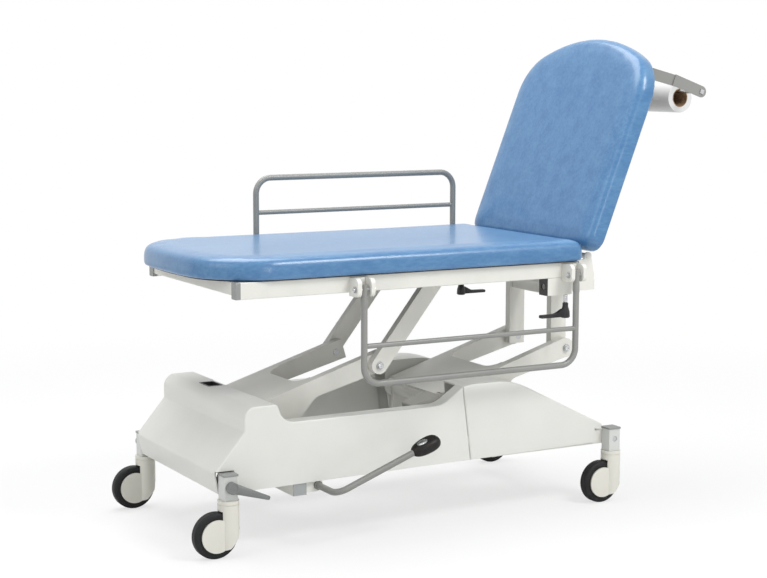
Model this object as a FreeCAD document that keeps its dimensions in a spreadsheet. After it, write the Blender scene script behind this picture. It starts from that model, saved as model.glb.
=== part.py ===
import FreeCAD, Part
import math
import os
import Sketcher

# Treatment couch: a pad and a raisable backrest on a parallel-arm hydraulic lift, with two
# moulded casings, four braked castors, two folding cot sides and a paper roll holder.
# Frame: +X towards the head, +Z up, the near side is -Y. The origin lies on the floor, midway
# between the four castor swivels. Lengths are in millimetres, angles in degrees.

SIZES = [
    # castors
    ("wheelbase", 1244), ("castor_track", 598), ("wheel_diameter", 125), ("castor_trail", 39),
    ("tyre_depth", 18), ("tyre_width", 32), ("tyre_crown", 9), ("wheel_side_gap", 1.5),
    ("wheel_top_gap", 3), ("cover_thickness", 3.5), ("column_diameter", 58),
    ("neck_groove_depth", 1.5), ("neck_groove_width", 2), ("neck_ring_height", 9),
    ("axle_diameter", 14), ("stem_diameter", 24), ("stem_length", 17), ("running_gap", 0.05),
    ("seat_gap", 0.3), ("hub_web", 14),
    # sockets, brake bars and pedals
    ("socket_width", 40), ("socket_bottom", 154), ("socket_height", 65), ("socket_corner", 3),
    ("cap_thickness", 5), ("cap_overhang", 1.5), ("brake_bar_height", 190), ("hex_flats", 14),
    ("pedal_gap", 1), ("pedal_width", 14), ("pedal_hub_diameter", 31), ("pedal_reach", 116),
    ("pedal_tip_height", 10), ("pedal_angle", 20), ("brake_crank_length", 28),
    ("brake_swing", 42), ("brake_link_y", 70), ("brake_link_diameter", 7),
    ("link_eye_diameter", 18), ("link_pin_diameter", 8), ("link_eye_width", 8),
    ("crank_plate", 6), ("crank_boss_diameter", 26), ("bar_end_inset", 1),
    # chassis
    ("beam_width", 30), ("beam_bottom", 172), ("beam_height", 40), ("beam_wall", 3),
    ("beam_foot_inset", 10), ("cross_beam_height", 30), ("cross_beam_width", 40),
    ("head_cross_beam_x", 548), ("pedal_tube_x", -403), ("pedal_tube_width", 40),
    ("pedal_tube_height", 38), ("pedal_tube_half_length", 280),
    # casings
    ("casing_half_width", 285), ("casing_wall", 4), ("casing_edge", 5), ("rim_width", 42),
    ("casing_foot_x", -640), ("casing_foot_bottom", 165), ("crease_x", -653), ("crease_z", 223),
    ("nose_x", -567), ("nose_z", 325), ("deck_z", 392), ("deck_corner", 34),
    ("deck_back_x", -470), ("deck_back_corner", 12), ("flank_foot_x", -450), ("rim_z", 340),
    ("flank_curve", 45), ("rise_x", 40), ("rise_curve", 70), ("seam_top_x", 112),
    ("seam_top_z", 387), ("seam_bottom_x", 139), ("seam_bottom_z", 174), ("seam_gap", 0.8),
    ("crest_x", 279), ("crest_curve", 250), ("tail_x", 603), ("tail_z", 230),
    ("tail_corner", 8), ("tail_bottom_x", 583), ("tail_bottom_z", 179),
    ("arm_relief", 8), ("arm_relief_gap", 7), ("slot_half_width", 175), ("slot_end_x", 594), ("inner_edge_z", 216),
    ("notch_clearance", 4), ("foot_notch_z", 227), ("head_notch_z", 222), ("head_notch_x", 573),
    ("head_notch_y", 241), ("tray_x", -529), ("tray_length", 42), ("tray_y", 41),
    ("cut_past", 10), ("crease_corner", 8), ("nose_corner", 12), ("shoulder_run", 30),
    ("shoulder_curve", 40), ("hood_start", 60), ("tray_corner", 4), ("tray_flange", 2),
    ("tray_width", 66), ("rib_cut_start", 6), ("link_slot_width", 12),
    ("link_slot_top", 225), ("tray_depth", 14), ("tray_wall", 2.5), ("tray_lip", 1),
    # lift
    ("foot_pivot_x", -512), ("head_pivot_x", 132), ("base_pivot_z", 316), ("arm_length", 442),
    ("rest_angle", 17.1), ("arm_width", 30), ("arm_top", 31), ("arm_tip_bottom", 27),
    ("arm_waist_x", 238), ("arm_waist_bottom", 18), ("flange_x", 180), ("flange_bottom", 54),
    ("flange_heel_x", 85), ("flange_heel_bottom", 60), ("flange_heel_curve", 60), ("flange_curve", 30), ("waist_curve", 40), ("arm_end", 26), ("arm_tip_radius", 29),
    ("arm_boss_diameter", 56), ("foot_arm_y", 105), ("head_arm_y", 127), ("web_thickness", 4),
    ("foot_web_end", 209), ("head_web_end", 192), ("web_ear", 6), ("web_ear_length", 42),
    ("web_corner", 36), ("web_start", -12), ("pivot_pin_diameter", 20), ("upright_width", 42),
    ("upright_thickness", 12), ("upright_gap", 2), ("pin_head_diameter", 22),
    ("pin_head_height", 4), ("open_pivot_gap", 0.4),
    # hydraulics
    ("ram_crank_length", 90), ("ram_crank_angle", 2), ("ram_pin_diameter", 16),
    ("ram_pin_play", 0.9), ("ram_cheek_gap", 9), ("ram_cheek", 8), ("ram_axis_z", 226),
    ("ram_outer_diameter", 52), ("ram_inner_diameter", 40), ("ram_rod_diameter", 20),
    ("ram_start_x", -237), ("ram_end_x", -30), ("ram_gland", 12), ("ram_lift", 7),
    ("hub_diameter", 44), ("piston_length", 18), ("piston_gap", 0.4), ("pump_plate_x", -332),
    ("pump_plate_length", 100), ("pump_plate_thickness", 8), ("pump_block_width", 90),
    ("pump_block_top", 262), ("pump_block_corner", 10), ("valve_box_x", -12),
    ("valve_box_y", -234), ("valve_box_z", 292), ("valve_box_length", 92),
    ("valve_box_width", 62), ("valve_box_height", 46), ("valve_box_lean", 17), ("valve_plate", 3), ("valve_box_corner", 5),
    ("stand_start_x", -2), ("stand_end_x", 78), ("stand_foot_top", 307), ("stand_head_top", 332),
    ("stand_reach", 15),
    # pump pedal
    ("pump_shaft_x", -346), ("pump_shaft_z", 155), ("pump_bar_diameter", 18),
    ("pump_arm_y", -390), ("pump_arm_length", 275), ("pump_arm_rise", 20.4),
    ("pump_bend", 32), ("pump_pad_start", 245), ("pump_pad_length", 90), ("pump_pad_width", 50),
    ("pump_pad_height", 34), ("pump_pad_corner", 10), ("pump_pad_curve", 20),
    ("pump_pad_swell", 25), ("collar_width", 8), ("stop_width", 12), ("bearing_width", 20), ("bearing_outer_y", -275),
    ("bearing_inner_y", -85), ("bearing_height", 34), ("pump_collar_diameter", 24),
    # couch frame
    ("frame_half_width", 306), ("frame_top", 727), ("frame_height", 45), ("side_tube_width", 30),
    ("tube_wall", 3), ("tube_corner", 3), ("small_corner", 2), ("side_tube_foot_x", -584), ("side_tube_head_x", 486),
    ("foot_cap_length", 13), ("head_cap_length", 5), ("foot_cross_x", -594),
    ("foot_cross_width", 37), ("foot_cross_height", 37), ("mid_cross_width", 56),
    ("head_cross_lead", 9), ("head_cross_width", 61), ("head_cross_bottom", 636),
    ("head_cross_height", 30), ("hinge_plate_y", 270), ("hinge_plate_x", 428),
    ("hinge_tab_lead", 22), ("hinge_tab_inset", 6.6),
    ("leg_lean", 38.4), ("leg_width", 50), ("foot_leg_y", 137), ("leg_thickness", 24),
    ("head_leg_offset", 6.46), ("head_leg_width", 54), ("head_leg_end", 21), ("head_leg_y", 101),
    ("leg_bar_bottom", 602), ("leg_bar_width", 40),
    # cot sides
    ("foot_post_x", -238), ("head_post_x", 456), ("cot_y", 342), ("cot_pivot_z", 693),
    ("cot_reach", 259.5), ("cot_mid_reach", 155), ("cot_tube", 18), ("cot_corner", 48),
    ("cot_mid_tube", 14), ("post_stub", 13), ("bracket_width", 53), ("bracket_height", 50),
    ("bracket_drop", 20), ("bracket_root", 16), ("ear_thickness", 12), ("ear_radius", 15),
    ("cot_bolt_diameter", 10), ("bolt_head_diameter", 17), ("bolt_head_height", 4),
    # accessory receivers and clamp levers
    ("receiver_gap", 8), ("receiver_length", 100), ("receiver_inner_y", 269),
    ("receiver_height", 50), ("receiver_corner", 30), ("receiver_plate", 4),
    ("receiver_bore_diameter", 19), ("receiver_bore_depth", 85), ("clamp_along", 75),
    ("clamp_y", 288), ("clamp_stud_diameter", 12), ("clamp_hub_top", 605),
    ("clamp_hub_bottom", 562), ("clamp_hub_top_diameter", 17), ("clamp_hub_diameter", 28),
    ("clamp_reach", 88), ("clamp_arm_width", 13), ("clamp_arm_thickness", 9),
    # pads and boards
    ("pad_half_width", 325), ("pad_thickness", 63), ("pad_top_edge", 30), ("pad_low_edge", 6),
    ("board_thickness", 12), ("board_inset", 14), ("board_gap", 0.3), ("seat_head_x", 505),
    ("seat_head_corner", 32), ("seat_side_x", -471), ("seat_corner", 200),
    ("seat_front_slope", 6.3), ("back_start", 13), ("back_side_u", 485), ("back_corner", 150),
    ("back_top_slope", 25.3), ("back_foot_corner", 40),
    # backrest
    ("hinge_x", 544.8), ("hinge_z", 736), ("back_angle", 68.2), ("back_depth", 54),
    ("hinge_bar_diameter", 16), ("hinge_ear_radius", 12), ("hinge_lug_radius", 11),
    ("back_rail_y", 98), ("back_rail_width", 25),
    ("back_rail_depth", 25), ("back_rail_end", 470), ("back_cross_one", 230),
    ("back_cross_two", 440), ("back_cross_width", 30), ("spring_crank_length", 50),
    ("spring_crank_angle", 30.6), ("spring_pin_diameter", 12), ("spring_pin_play", 1.4),
    ("spring_cheek_gap", 8), ("spring_cheek", 6), ("spring_axis_z", 691),
    ("spring_outer_diameter", 24), ("spring_inner_diameter", 18), ("spring_rod_diameter", 10),
    ("spring_mount_length", 24.5), ("spring_end_x", 440), ("spring_gland", 10),
    ("spring_mount_half", 10), ("spring_wall", 5), ("spring_pin_rise", 12), ("yoke_wall", 7),
    # paper roll
    ("holder_root", 576), ("holder_bend_u", 589), ("holder_bend_w", 92), ("holder_tip_u", 594.5),
    ("holder_tip_w", 202), ("holder_width", 34), ("holder_plate", 4), ("holder_y", 270),
    ("holder_lap", 14), ("holder_hole", 14), ("spindle_diameter", 12), ("spindle_play", 0.4),
    ("roll_diameter", 90), ("roll_core_outer", 56),
    ("roll_core_inner", 52), ("roll_half_length", 175), ("roll_gap", 0.3),
]

doc = FreeCAD.newDocument("TreatmentCouch")
sheet = doc.addObject("Spreadsheet::Sheet", "sizes")
for row, (alias, number) in enumerate(SIZES, start=1):
    sheet.set(f"A{row}", alias)
    sheet.set(f"B{row}", str(number))
    sheet.setAlias(f"B{row}", alias)
doc.recompute()


class Size:
    """A number together with the sheet formula that it comes from."""

    def __init__(self, value, text):
        self.value = value
        self.text = text

    @staticmethod
    def of(other):
        return other if isinstance(other, Size) else Size(float(other), f"{float(other):.6g}")

    def join(self, other, sign, value):
        return Size(value, f"({self.text} {sign} {Size.of(other).text})")

    def __add__(self, other):
        return self.join(other, "+", self.value + Size.of(other).value)

    def __radd__(self, other):
        return Size.of(other) + self

    def __sub__(self, other):
        return self.join(other, "-", self.value - Size.of(other).value)

    def __rsub__(self, other):
        return Size.of(other) - self

    def __mul__(self, other):
        return self.join(other, "*", self.value * Size.of(other).value)

    def __rmul__(self, other):
        return Size.of(other) * self

    def __truediv__(self, other):
        return self.join(other, "/", self.value / Size.of(other).value)

    def __rtruediv__(self, other):
        return Size.of(other) / self

    def __neg__(self):
        return Size(-self.value, f"(-1 * {self.text})")


class Sheet:
    """Reads the driving sizes by name, as in sizes.wheelbase."""

    def __getattr__(self, alias):
        return Size(float(sheet.get(alias)), f"<<sizes>>.{alias}")


sizes = Sheet()


def sine(angle):
    angle = Size.of(angle)
    return Size(math.sin(math.radians(angle.value)), f"sin({angle.text})")


def cosine(angle):
    angle = Size.of(angle)
    return Size(math.cos(math.radians(angle.value)), f"cos({angle.text})")


def bind(thing, prop, size):
    thing.setExpression(prop, Size.of(size).text)


# Sketch loops

ORIGIN = (-1, 1)


def fix_point(sketch, geometry, end, across, up):
    """Ties one point of a sketch to two sheet formulas."""
    for kind, size in (("DistanceX", across), ("DistanceY", up)):
        size = Size.of(size)
        index = sketch.addConstraint(Sketcher.Constraint(kind, *ORIGIN, geometry, end, size.value))
        bind(sketch, f"Constraints[{index}]", size)


class Circle:
    """A full circle: centre and radius."""

    def __init__(self, across, up, radius):
        self.centre = (Size.of(across), Size.of(up))
        self.radius = Size.of(radius)

    def draw(self, sketch):
        middle = FreeCAD.Vector(self.centre[0].value, self.centre[1].value, 0)
        ring = Part.Circle(middle, FreeCAD.Vector(0, 0, 1), self.radius.value)
        index = sketch.addGeometry(ring, False)
        fix_point(sketch, index, 3, *self.centre)
        rule = sketch.addConstraint(Sketcher.Constraint("Radius", index, self.radius.value))
        bind(sketch, f"Constraints[{rule}]", self.radius)


class Path:
    """Straight runs between corners (across, up, rounding), closed or open.

    The rounding is 0 for a sharp corner.
    """

    def __init__(self, corners, closed=True):
        self.corners = [tuple(Size.of(part) for part in corner) for corner in corners]
        self.closed = closed

    def draw(self, sketch):
        count = len(self.corners)
        spots = [FreeCAD.Vector(c[0].value, c[1].value, 0) for c in self.corners]
        rounded = [len(c) > 2 and c[2].value > 0 for c in self.corners]
        if not self.closed:
            rounded[0] = rounded[-1] = False
        marks = [sketch.addGeometry(Part.Point(spot), True) for spot in spots]
        for mark, corner in zip(marks, self.corners):
            fix_point(sketch, mark, 1, corner[0], corner[1])
        before, after, arcs = [], [], []
        for k, spot in enumerate(spots):
            if not rounded[k]:
                before.append(spot)
                after.append(spot)
                arcs.append(None)
                continue
            back = (spots[k - 1] - spot).normalize()
            ahead = (spots[(k + 1) % count] - spot).normalize()
            half = back.getAngle(ahead) / 2
            radius = self.corners[k][2].value
            middle = spot + (back + ahead).normalize() * (radius / math.sin(half))
            before.append(spot + back * (radius / math.tan(half)))
            after.append(spot + ahead * (radius / math.tan(half)))
            left = back.cross(ahead).z < 0
            first, last = (before[k], after[k]) if left else (after[k], before[k])
            angles = [math.atan2(p.y - middle.y, p.x - middle.x) for p in (first, last)]
            if angles[1] < angles[0]:
                angles[1] += 2 * math.pi
            ring = Part.Circle(middle, FreeCAD.Vector(0, 0, 1), radius)
            index = sketch.addGeometry(Part.ArcOfCircle(ring, *angles), False)
            arcs.append((index, 1 if left else 2, 2 if left else 1))
        runs = []
        for k in range(count if self.closed else count - 1):
            line = Part.LineSegment(after[k], before[(k + 1) % count])
            runs.append(sketch.addGeometry(line, False))
        for k in range(count):
            arriving = runs[k - 1] if self.closed or k > 0 else None
            leaving = runs[k] if k < len(runs) else None
            self.join(sketch, marks[k], arcs[k], arriving, leaving, self.corners[k])

    @staticmethod
    def join(sketch, mark, arc, arriving, leaving, corner):
        if arc is None:
            if arriving is not None:
                sketch.addConstraint(Sketcher.Constraint("Coincident", arriving, 2, mark, 1))
            if leaving is not None:
                sketch.addConstraint(Sketcher.Constraint("Coincident", leaving, 1, mark, 1))
            return
        index, start, end = arc
        sketch.addConstraint(Sketcher.Constraint("PointOnObject", mark, 1, arriving))
        sketch.addConstraint(Sketcher.Constraint("PointOnObject", mark, 1, leaving))
        sketch.addConstraint(Sketcher.Constraint("Tangent", arriving, 2, index, start))
        sketch.addConstraint(Sketcher.Constraint("Tangent", index, end, leaving, 1))
        rule = sketch.addConstraint(Sketcher.Constraint("Radius", index, corner[2].value))
        bind(sketch, f"Constraints[{rule}]", corner[2])


class Bowed:
    """Sharp corners (across, up, bow); a bow is the radius of the arc to the next corner."""

    def __init__(self, corners):
        self.corners = [tuple(Size.of(part) for part in corner) for corner in corners]

    def draw(self, sketch):
        count = len(self.corners)
        spots = [FreeCAD.Vector(c[0].value, c[1].value, 0) for c in self.corners]
        edges = []
        for k in range(count):
            first, last = spots[k], spots[(k + 1) % count]
            bow = self.corners[k][2].value if len(self.corners[k]) > 2 else 0
            if bow <= 0:
                edges.append((sketch.addGeometry(Part.LineSegment(first, last), False), 1, 2))
                continue
            chord = last - first
            side = FreeCAD.Vector(-chord.y, chord.x, 0).normalize()
            rise = math.sqrt(bow ** 2 - (chord.Length / 2) ** 2)
            middle = (first + last) / 2 + side * rise
            angles = [math.atan2(p.y - middle.y, p.x - middle.x) for p in (first, last)]
            if angles[1] < angles[0]:
                angles[1] += 2 * math.pi
            ring = Part.Circle(middle, FreeCAD.Vector(0, 0, 1), bow)
            index = sketch.addGeometry(Part.ArcOfCircle(ring, *angles), False)
            rule = sketch.addConstraint(Sketcher.Constraint("Radius", index, bow))
            bind(sketch, f"Constraints[{rule}]", self.corners[k][2])
            edges.append((index, 1, 2))
        for k in range(count):
            here, following = edges[k - 1], edges[k]
            rule = Sketcher.Constraint("Coincident", here[0], here[2], following[0], following[1])
            sketch.addConstraint(rule)
            fix_point(sketch, following[0], following[1], *self.corners[k][:2])


def rectangle(across_low, across_high, up_low, up_high, corner=0):
    return Path([(across_low, up_low, corner), (across_high, up_low, corner),
                 (across_high, up_high, corner), (across_low, up_high, corner)])


def square_about(across, up, width, corner=0):
    half = width / 2
    return rectangle(across - half, across + half, up - half, up + half, corner)


def hexagon(across, up, flats):
    corner = flats / math.sqrt(3)
    return Path([(across + corner * cosine(60 * k), up + corner * sine(60 * k))
                 for k in range(6)])


# Body features. A plane is named by its two axes; a pad or pocket runs from a low to a high
# place along the third.

def node(name, along=0, across=0, up=0, tilt=0):
    """A sub-part: a body placed at a point, tilted head-up about Y."""
    body = doc.addObject("PartDesign::Body", name)
    body.Label = name
    body.Placement = FreeCAD.Placement(FreeCAD.Vector(), FreeCAD.Rotation(0, 0, 0))
    body.Placement.Rotation = FreeCAD.Rotation(FreeCAD.Vector(0, 1, 0), -Size.of(tilt).value)
    bind(body, "Placement.Base.x", along)
    bind(body, "Placement.Base.y", across)
    bind(body, "Placement.Base.z", up)
    return body


def sketch_on(body, plane, place, loops):
    sketch = body.newObject("Sketcher::SketchObject", "Outline")
    support = next(f for f in body.Origin.OriginFeatures if f.Role == f"{plane}_Plane")
    sketch.AttachmentSupport = [(support, "")]
    sketch.MapMode = "FlatFace"
    place = Size.of(place)
    bind(sketch, "AttachmentOffset.Base.z", -place if plane == "XZ" else place)
    for loop in loops:
        loop.draw(sketch)
    doc.recompute()
    return sketch


def extrude(body, kind, plane, low, high, loops):
    low, high = Size.of(low), Size.of(high)
    sketch = sketch_on(body, plane, high if plane == "XZ" else low, loops)
    before = body.Shape.Volume if body.Tip else 0
    feature = body.newObject(f"PartDesign::{kind}", kind)
    feature.Profile = sketch
    bind(feature, "Length", high - low)
    if kind == "Pocket":
        feature.Reversed = True
    doc.recompute()
    change = body.Shape.Volume - before
    if (change > 0) != (kind == "Pad") or abs(change) < 1e-6:
        raise RuntimeError(f"{body.Label}: a {kind} changed the volume by {change:.3f}")
    return feature


def pad(body, plane, low, high, *loops):
    return extrude(body, "Pad", plane, low, high, loops)


def pocket(body, plane, low, high, *loops):
    return extrude(body, "Pocket", plane, low, high, loops)


def pad_both(body, inner, outer, *loops):
    """The same plate on the near side and the far side."""
    pad(body, "XZ", inner, outer, *loops)
    pad(body, "XZ", -Size.of(outer), -Size.of(inner), *loops)


def pocket_both(body, inner, outer, *loops):
    pocket(body, "XZ", inner, outer, *loops)
    pocket(body, "XZ", -Size.of(outer), -Size.of(inner), *loops)


def revolve(body, plane, loop, kind="Revolution"):
    """Turns a profile about the plane's second axis."""
    sketch = sketch_on(body, plane, 0, [loop])
    feature = body.newObject(f"PartDesign::{kind}", kind)
    feature.Profile = sketch
    feature.ReferenceAxis = (sketch, ["V_Axis"])
    feature.Angle = 360
    doc.recompute()
    return feature


def sweep(body, plane, place, corners, start_plane, start_place, profile):
    """A bar along an open path; the profile lies where the path starts."""
    path = sketch_on(body, plane, place, [Path(corners, closed=False)])
    section = sketch_on(body, start_plane, start_place, [profile])
    pipe = body.newObject("PartDesign::AdditivePipe", "Pipe")
    pipe.Profile = section
    pipe.Spine = (path, [f"Edge{k + 1}" for k in range(len(path.Shape.Edges))])
    doc.recompute()
    return pipe


def round_edges(body, radius, chosen, kind="Fillet"):
    """Rounds each edge of the body for which chosen(edge) is true."""
    tip = body.Tip
    names = [f"Edge{k + 1}" for k, edge in enumerate(tip.Shape.Edges) if chosen(edge)]
    feature = body.newObject(f"PartDesign::{kind}", kind)
    feature.Base = (tip, names)
    bind(feature, "Radius" if kind == "Fillet" else "Size", radius)
    doc.recompute()
    return feature


def level(edge, axis, place, slack=0.01):
    """True for an edge that lies in the plane where the axis has this place."""
    box = edge.BoundBox
    low, high = getattr(box, f"{axis}Min"), getattr(box, f"{axis}Max")
    return abs(low - Size.of(place).value) < slack and abs(high - Size.of(place).value) < slack


def runs_along(edge, axis):
    box = edge.BoundBox
    spans = {name: getattr(box, f"{name}Length") for name in "XYZ"}
    return spans[axis] > 0.5 and all(spans[k] < 0.01 for k in "XYZ" if k != axis)


# Castors

def wheel_radius():
    return sizes.wheel_diameter / 2


def cover_radius():
    return wheel_radius() - sizes.tyre_depth


def castor_housing(name, along, across):
    body = node(name, along, across)
    column = sizes.column_diameter / 2
    top = sizes.socket_bottom - sizes.seat_gap
    slot = sizes.tyre_width / 2 + sizes.wheel_side_gap
    outer = slot + sizes.cover_thickness
    toe = sizes.castor_trail + column
    low = wheel_radius() - cover_radius()
    pad(body, "XY", low, top, Circle(0, 0, column))
    # The column runs down into a toe that is tangent to the wheel covers.
    pocket(body, "XZ", -column - 1, column + 1, Path([
        (column + 1, low - 1), (column + 1, low + toe), (column, low + toe, 0),
        (column - toe * 0.134, low + toe * 0.5), (column - toe * 0.5, low + toe * 0.134),
        (-sizes.castor_trail, low), (-sizes.castor_trail, low - 1)]))
    pad(body, "XZ", -outer, outer, Circle(-sizes.castor_trail, wheel_radius(), cover_radius()))
    space = wheel_radius() + sizes.wheel_top_gap
    pocket(body, "XZ", -slot, slot, Circle(-sizes.castor_trail, wheel_radius(), space))
    pocket(body, "XZ", -slot, slot, rectangle(
        -sizes.castor_trail - space, -sizes.castor_trail + space, -1, wheel_radius()))
    groove = top - sizes.neck_ring_height
    pocket(body, "XY", groove - sizes.neck_groove_width, groove,
           Circle(0, 0, column + 1), Circle(0, 0, column - sizes.neck_groove_depth))
    pad(body, "XY", top, top + sizes.stem_length, Circle(0, 0, sizes.stem_diameter / 2))
    pad(body, "XZ", -slot, slot,
        Circle(-sizes.castor_trail, wheel_radius(), sizes.axle_diameter / 2))
    return body


def castor_wheel(name, along, across):
    """The wheel's core: a hub with a web and a rim for the tyre."""
    body = node(name, along - sizes.castor_trail, across, wheel_radius())
    half = sizes.tyre_width / 2
    bore = sizes.axle_diameter / 2 + sizes.running_gap
    rim = wheel_radius() - sizes.tyre_depth
    web = sizes.hub_web / 2
    revolve(body, "XY", Path([
        (bore, -half), (bore + 8, -half), (bore + 8, -web), (rim - 6, -web),
        (rim - 6, -half + 2), (rim, -half + 2), (rim, half - 2), (rim - 6, half - 2),
        (rim - 6, web), (bore + 8, web), (bore + 8, half), (bore, half)]))
    return body


def castor_tyre(name, along, across):
    body = node(name, along - sizes.castor_trail, across, wheel_radius())
    half = sizes.tyre_width / 2
    rim = wheel_radius() - sizes.tyre_depth
    revolve(body, "XY", Path([
        (rim, -half), (wheel_radius(), -half, sizes.tyre_crown),
        (wheel_radius(), half, sizes.tyre_crown), (rim, half)]))
    return body


def make_castors():
    for end, along in (("foot", -sizes.wheelbase / 2), ("head", sizes.wheelbase / 2)):
        for side, across in (("near", -sizes.castor_track / 2), ("far", sizes.castor_track / 2)):
            castor_housing(f"castor_housing_{end}_{side}", along, across)
            castor_wheel(f"castor_wheel_{end}_{side}", along, across)
            castor_tyre(f"castor_tyre_{end}_{side}", along, across)


# Sockets and brake

def socket_places():
    return [(along * sizes.wheelbase / 2, across * sizes.castor_track / 2)
            for along in (-1, 1) for across in (-1, 1)]


def hex_bore():
    return sizes.hex_flats / math.sqrt(3) + sizes.running_gap


def make_sockets():
    body = node("castor_sockets")
    low = sizes.socket_bottom
    pad(body, "XY", low, low + sizes.socket_height,
        *[square_about(x, y, sizes.socket_width, sizes.socket_corner) for x, y in socket_places()])
    pocket(body, "XY", low, low + sizes.stem_length + sizes.seat_gap,
           *[Circle(x, y, sizes.stem_diameter / 2 + sizes.running_gap) for x, y in socket_places()])
    reach = sizes.castor_track / 2 + sizes.socket_width
    pocket(body, "XZ", -reach, reach, *[
        Circle(along * sizes.wheelbase / 2, sizes.brake_bar_height, hex_bore())
        for along in (-1, 1)])
    caps = node("socket_caps")
    top = sizes.socket_bottom + sizes.socket_height
    pad(caps, "XY", top, top + sizes.cap_thickness, *[
        square_about(x, y, sizes.socket_width + 2 * sizes.cap_overhang, sizes.socket_corner)
        for x, y in socket_places()])


def brake_bar(name, along, half_length):
    """A hexagon bar across the couch with one crank for the link rod."""
    body = node(name, along, 0, sizes.brake_bar_height)
    pad(body, "XZ", -half_length, half_length, hexagon(0, 0, sizes.hex_flats))
    inner = sizes.brake_link_y - sizes.link_eye_width / 2 - 1 - sizes.crank_plate
    boss = sizes.crank_boss_diameter / 2
    pin_x = sizes.brake_crank_length * sine(sizes.brake_swing / 2)
    pin_z = sizes.brake_crank_length * cosine(sizes.brake_swing / 2)
    eye = sizes.link_eye_diameter / 2
    pad(body, "XZ", inner, inner + sizes.crank_plate, Circle(0, 0, boss))
    lean = sizes.brake_swing / 2
    across_x, across_z = cosine(lean) * eye, sine(lean) * eye
    pad(body, "XZ", inner, inner + sizes.crank_plate, Path([
        (-across_x, across_z), (across_x, -across_z),
        (pin_x + across_x, pin_z - across_z), (pin_x - across_x, pin_z + across_z)]))
    pad(body, "XZ", inner, inner + sizes.crank_plate, Circle(pin_x, pin_z, eye))
    pad(body, "XZ", inner + sizes.crank_plate,
        inner + sizes.crank_plate + sizes.link_eye_width + 2,
        Circle(pin_x, pin_z, sizes.link_pin_diameter / 2))
    return body


def make_brake():
    outer = sizes.castor_track / 2 + sizes.socket_width / 2
    pedal_out = outer + sizes.pedal_gap + sizes.pedal_width
    brake_bar("brake_bar_foot", -sizes.wheelbase / 2, pedal_out)
    brake_bar("brake_bar_head", sizes.wheelbase / 2, outer - sizes.bar_end_inset)
    pedals = node("brake_pedals", -sizes.wheelbase / 2, 0, sizes.brake_bar_height,
                  -sizes.pedal_angle)
    hub = sizes.pedal_hub_diameter / 2
    tip = sizes.pedal_tip_height / 2
    pad_both(pedals, outer + sizes.pedal_gap, pedal_out, Circle(0, 0, hub))
    pad_both(pedals, outer + sizes.pedal_gap, pedal_out, Path([
        (0, hub * 0.98), (0, -hub * 0.98), (sizes.pedal_reach, -tip, 4),
        (sizes.pedal_reach, tip, 4)]))
    turn = hexagon(0, 0, sizes.hex_flats + 2 * sizes.running_gap)
    spun = [(c[0] * cosine(sizes.pedal_angle) - c[1] * sine(sizes.pedal_angle),
             c[0] * sine(sizes.pedal_angle) + c[1] * cosine(sizes.pedal_angle))
            for c in turn.corners]
    pocket(pedals, "XZ", -pedal_out - 1, pedal_out + 1, Path(spun))
    pin_x = sizes.brake_crank_length * sine(sizes.brake_swing / 2)
    pin_z = sizes.brake_crank_length * cosine(sizes.brake_swing / 2) + sizes.brake_bar_height
    link = node("brake_link", pin_x, 0, pin_z)
    eye = sizes.link_eye_diameter / 2
    half = sizes.wheelbase / 2
    low = sizes.brake_link_y - sizes.link_eye_width / 2
    high = sizes.brake_link_y + sizes.link_eye_width / 2
    pad(link, "YZ", -half + eye * 0.7, half - eye * 0.7,
        Circle(sizes.brake_link_y, 0, sizes.brake_link_diameter / 2))
    pad(link, "XZ", low, high, Circle(-half, 0, eye), Circle(half, 0, eye))
    pocket(link, "XZ", low - 1, high + 1,
           Circle(-half, 0, sizes.link_pin_diameter / 2 + sizes.running_gap),
           Circle(half, 0, sizes.link_pin_diameter / 2 + sizes.open_pivot_gap))


# Chassis

def beam_y():
    """Outer face of the chassis side beams: they touch the sockets' inner faces."""
    return sizes.castor_track / 2 - sizes.socket_width / 2


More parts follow.
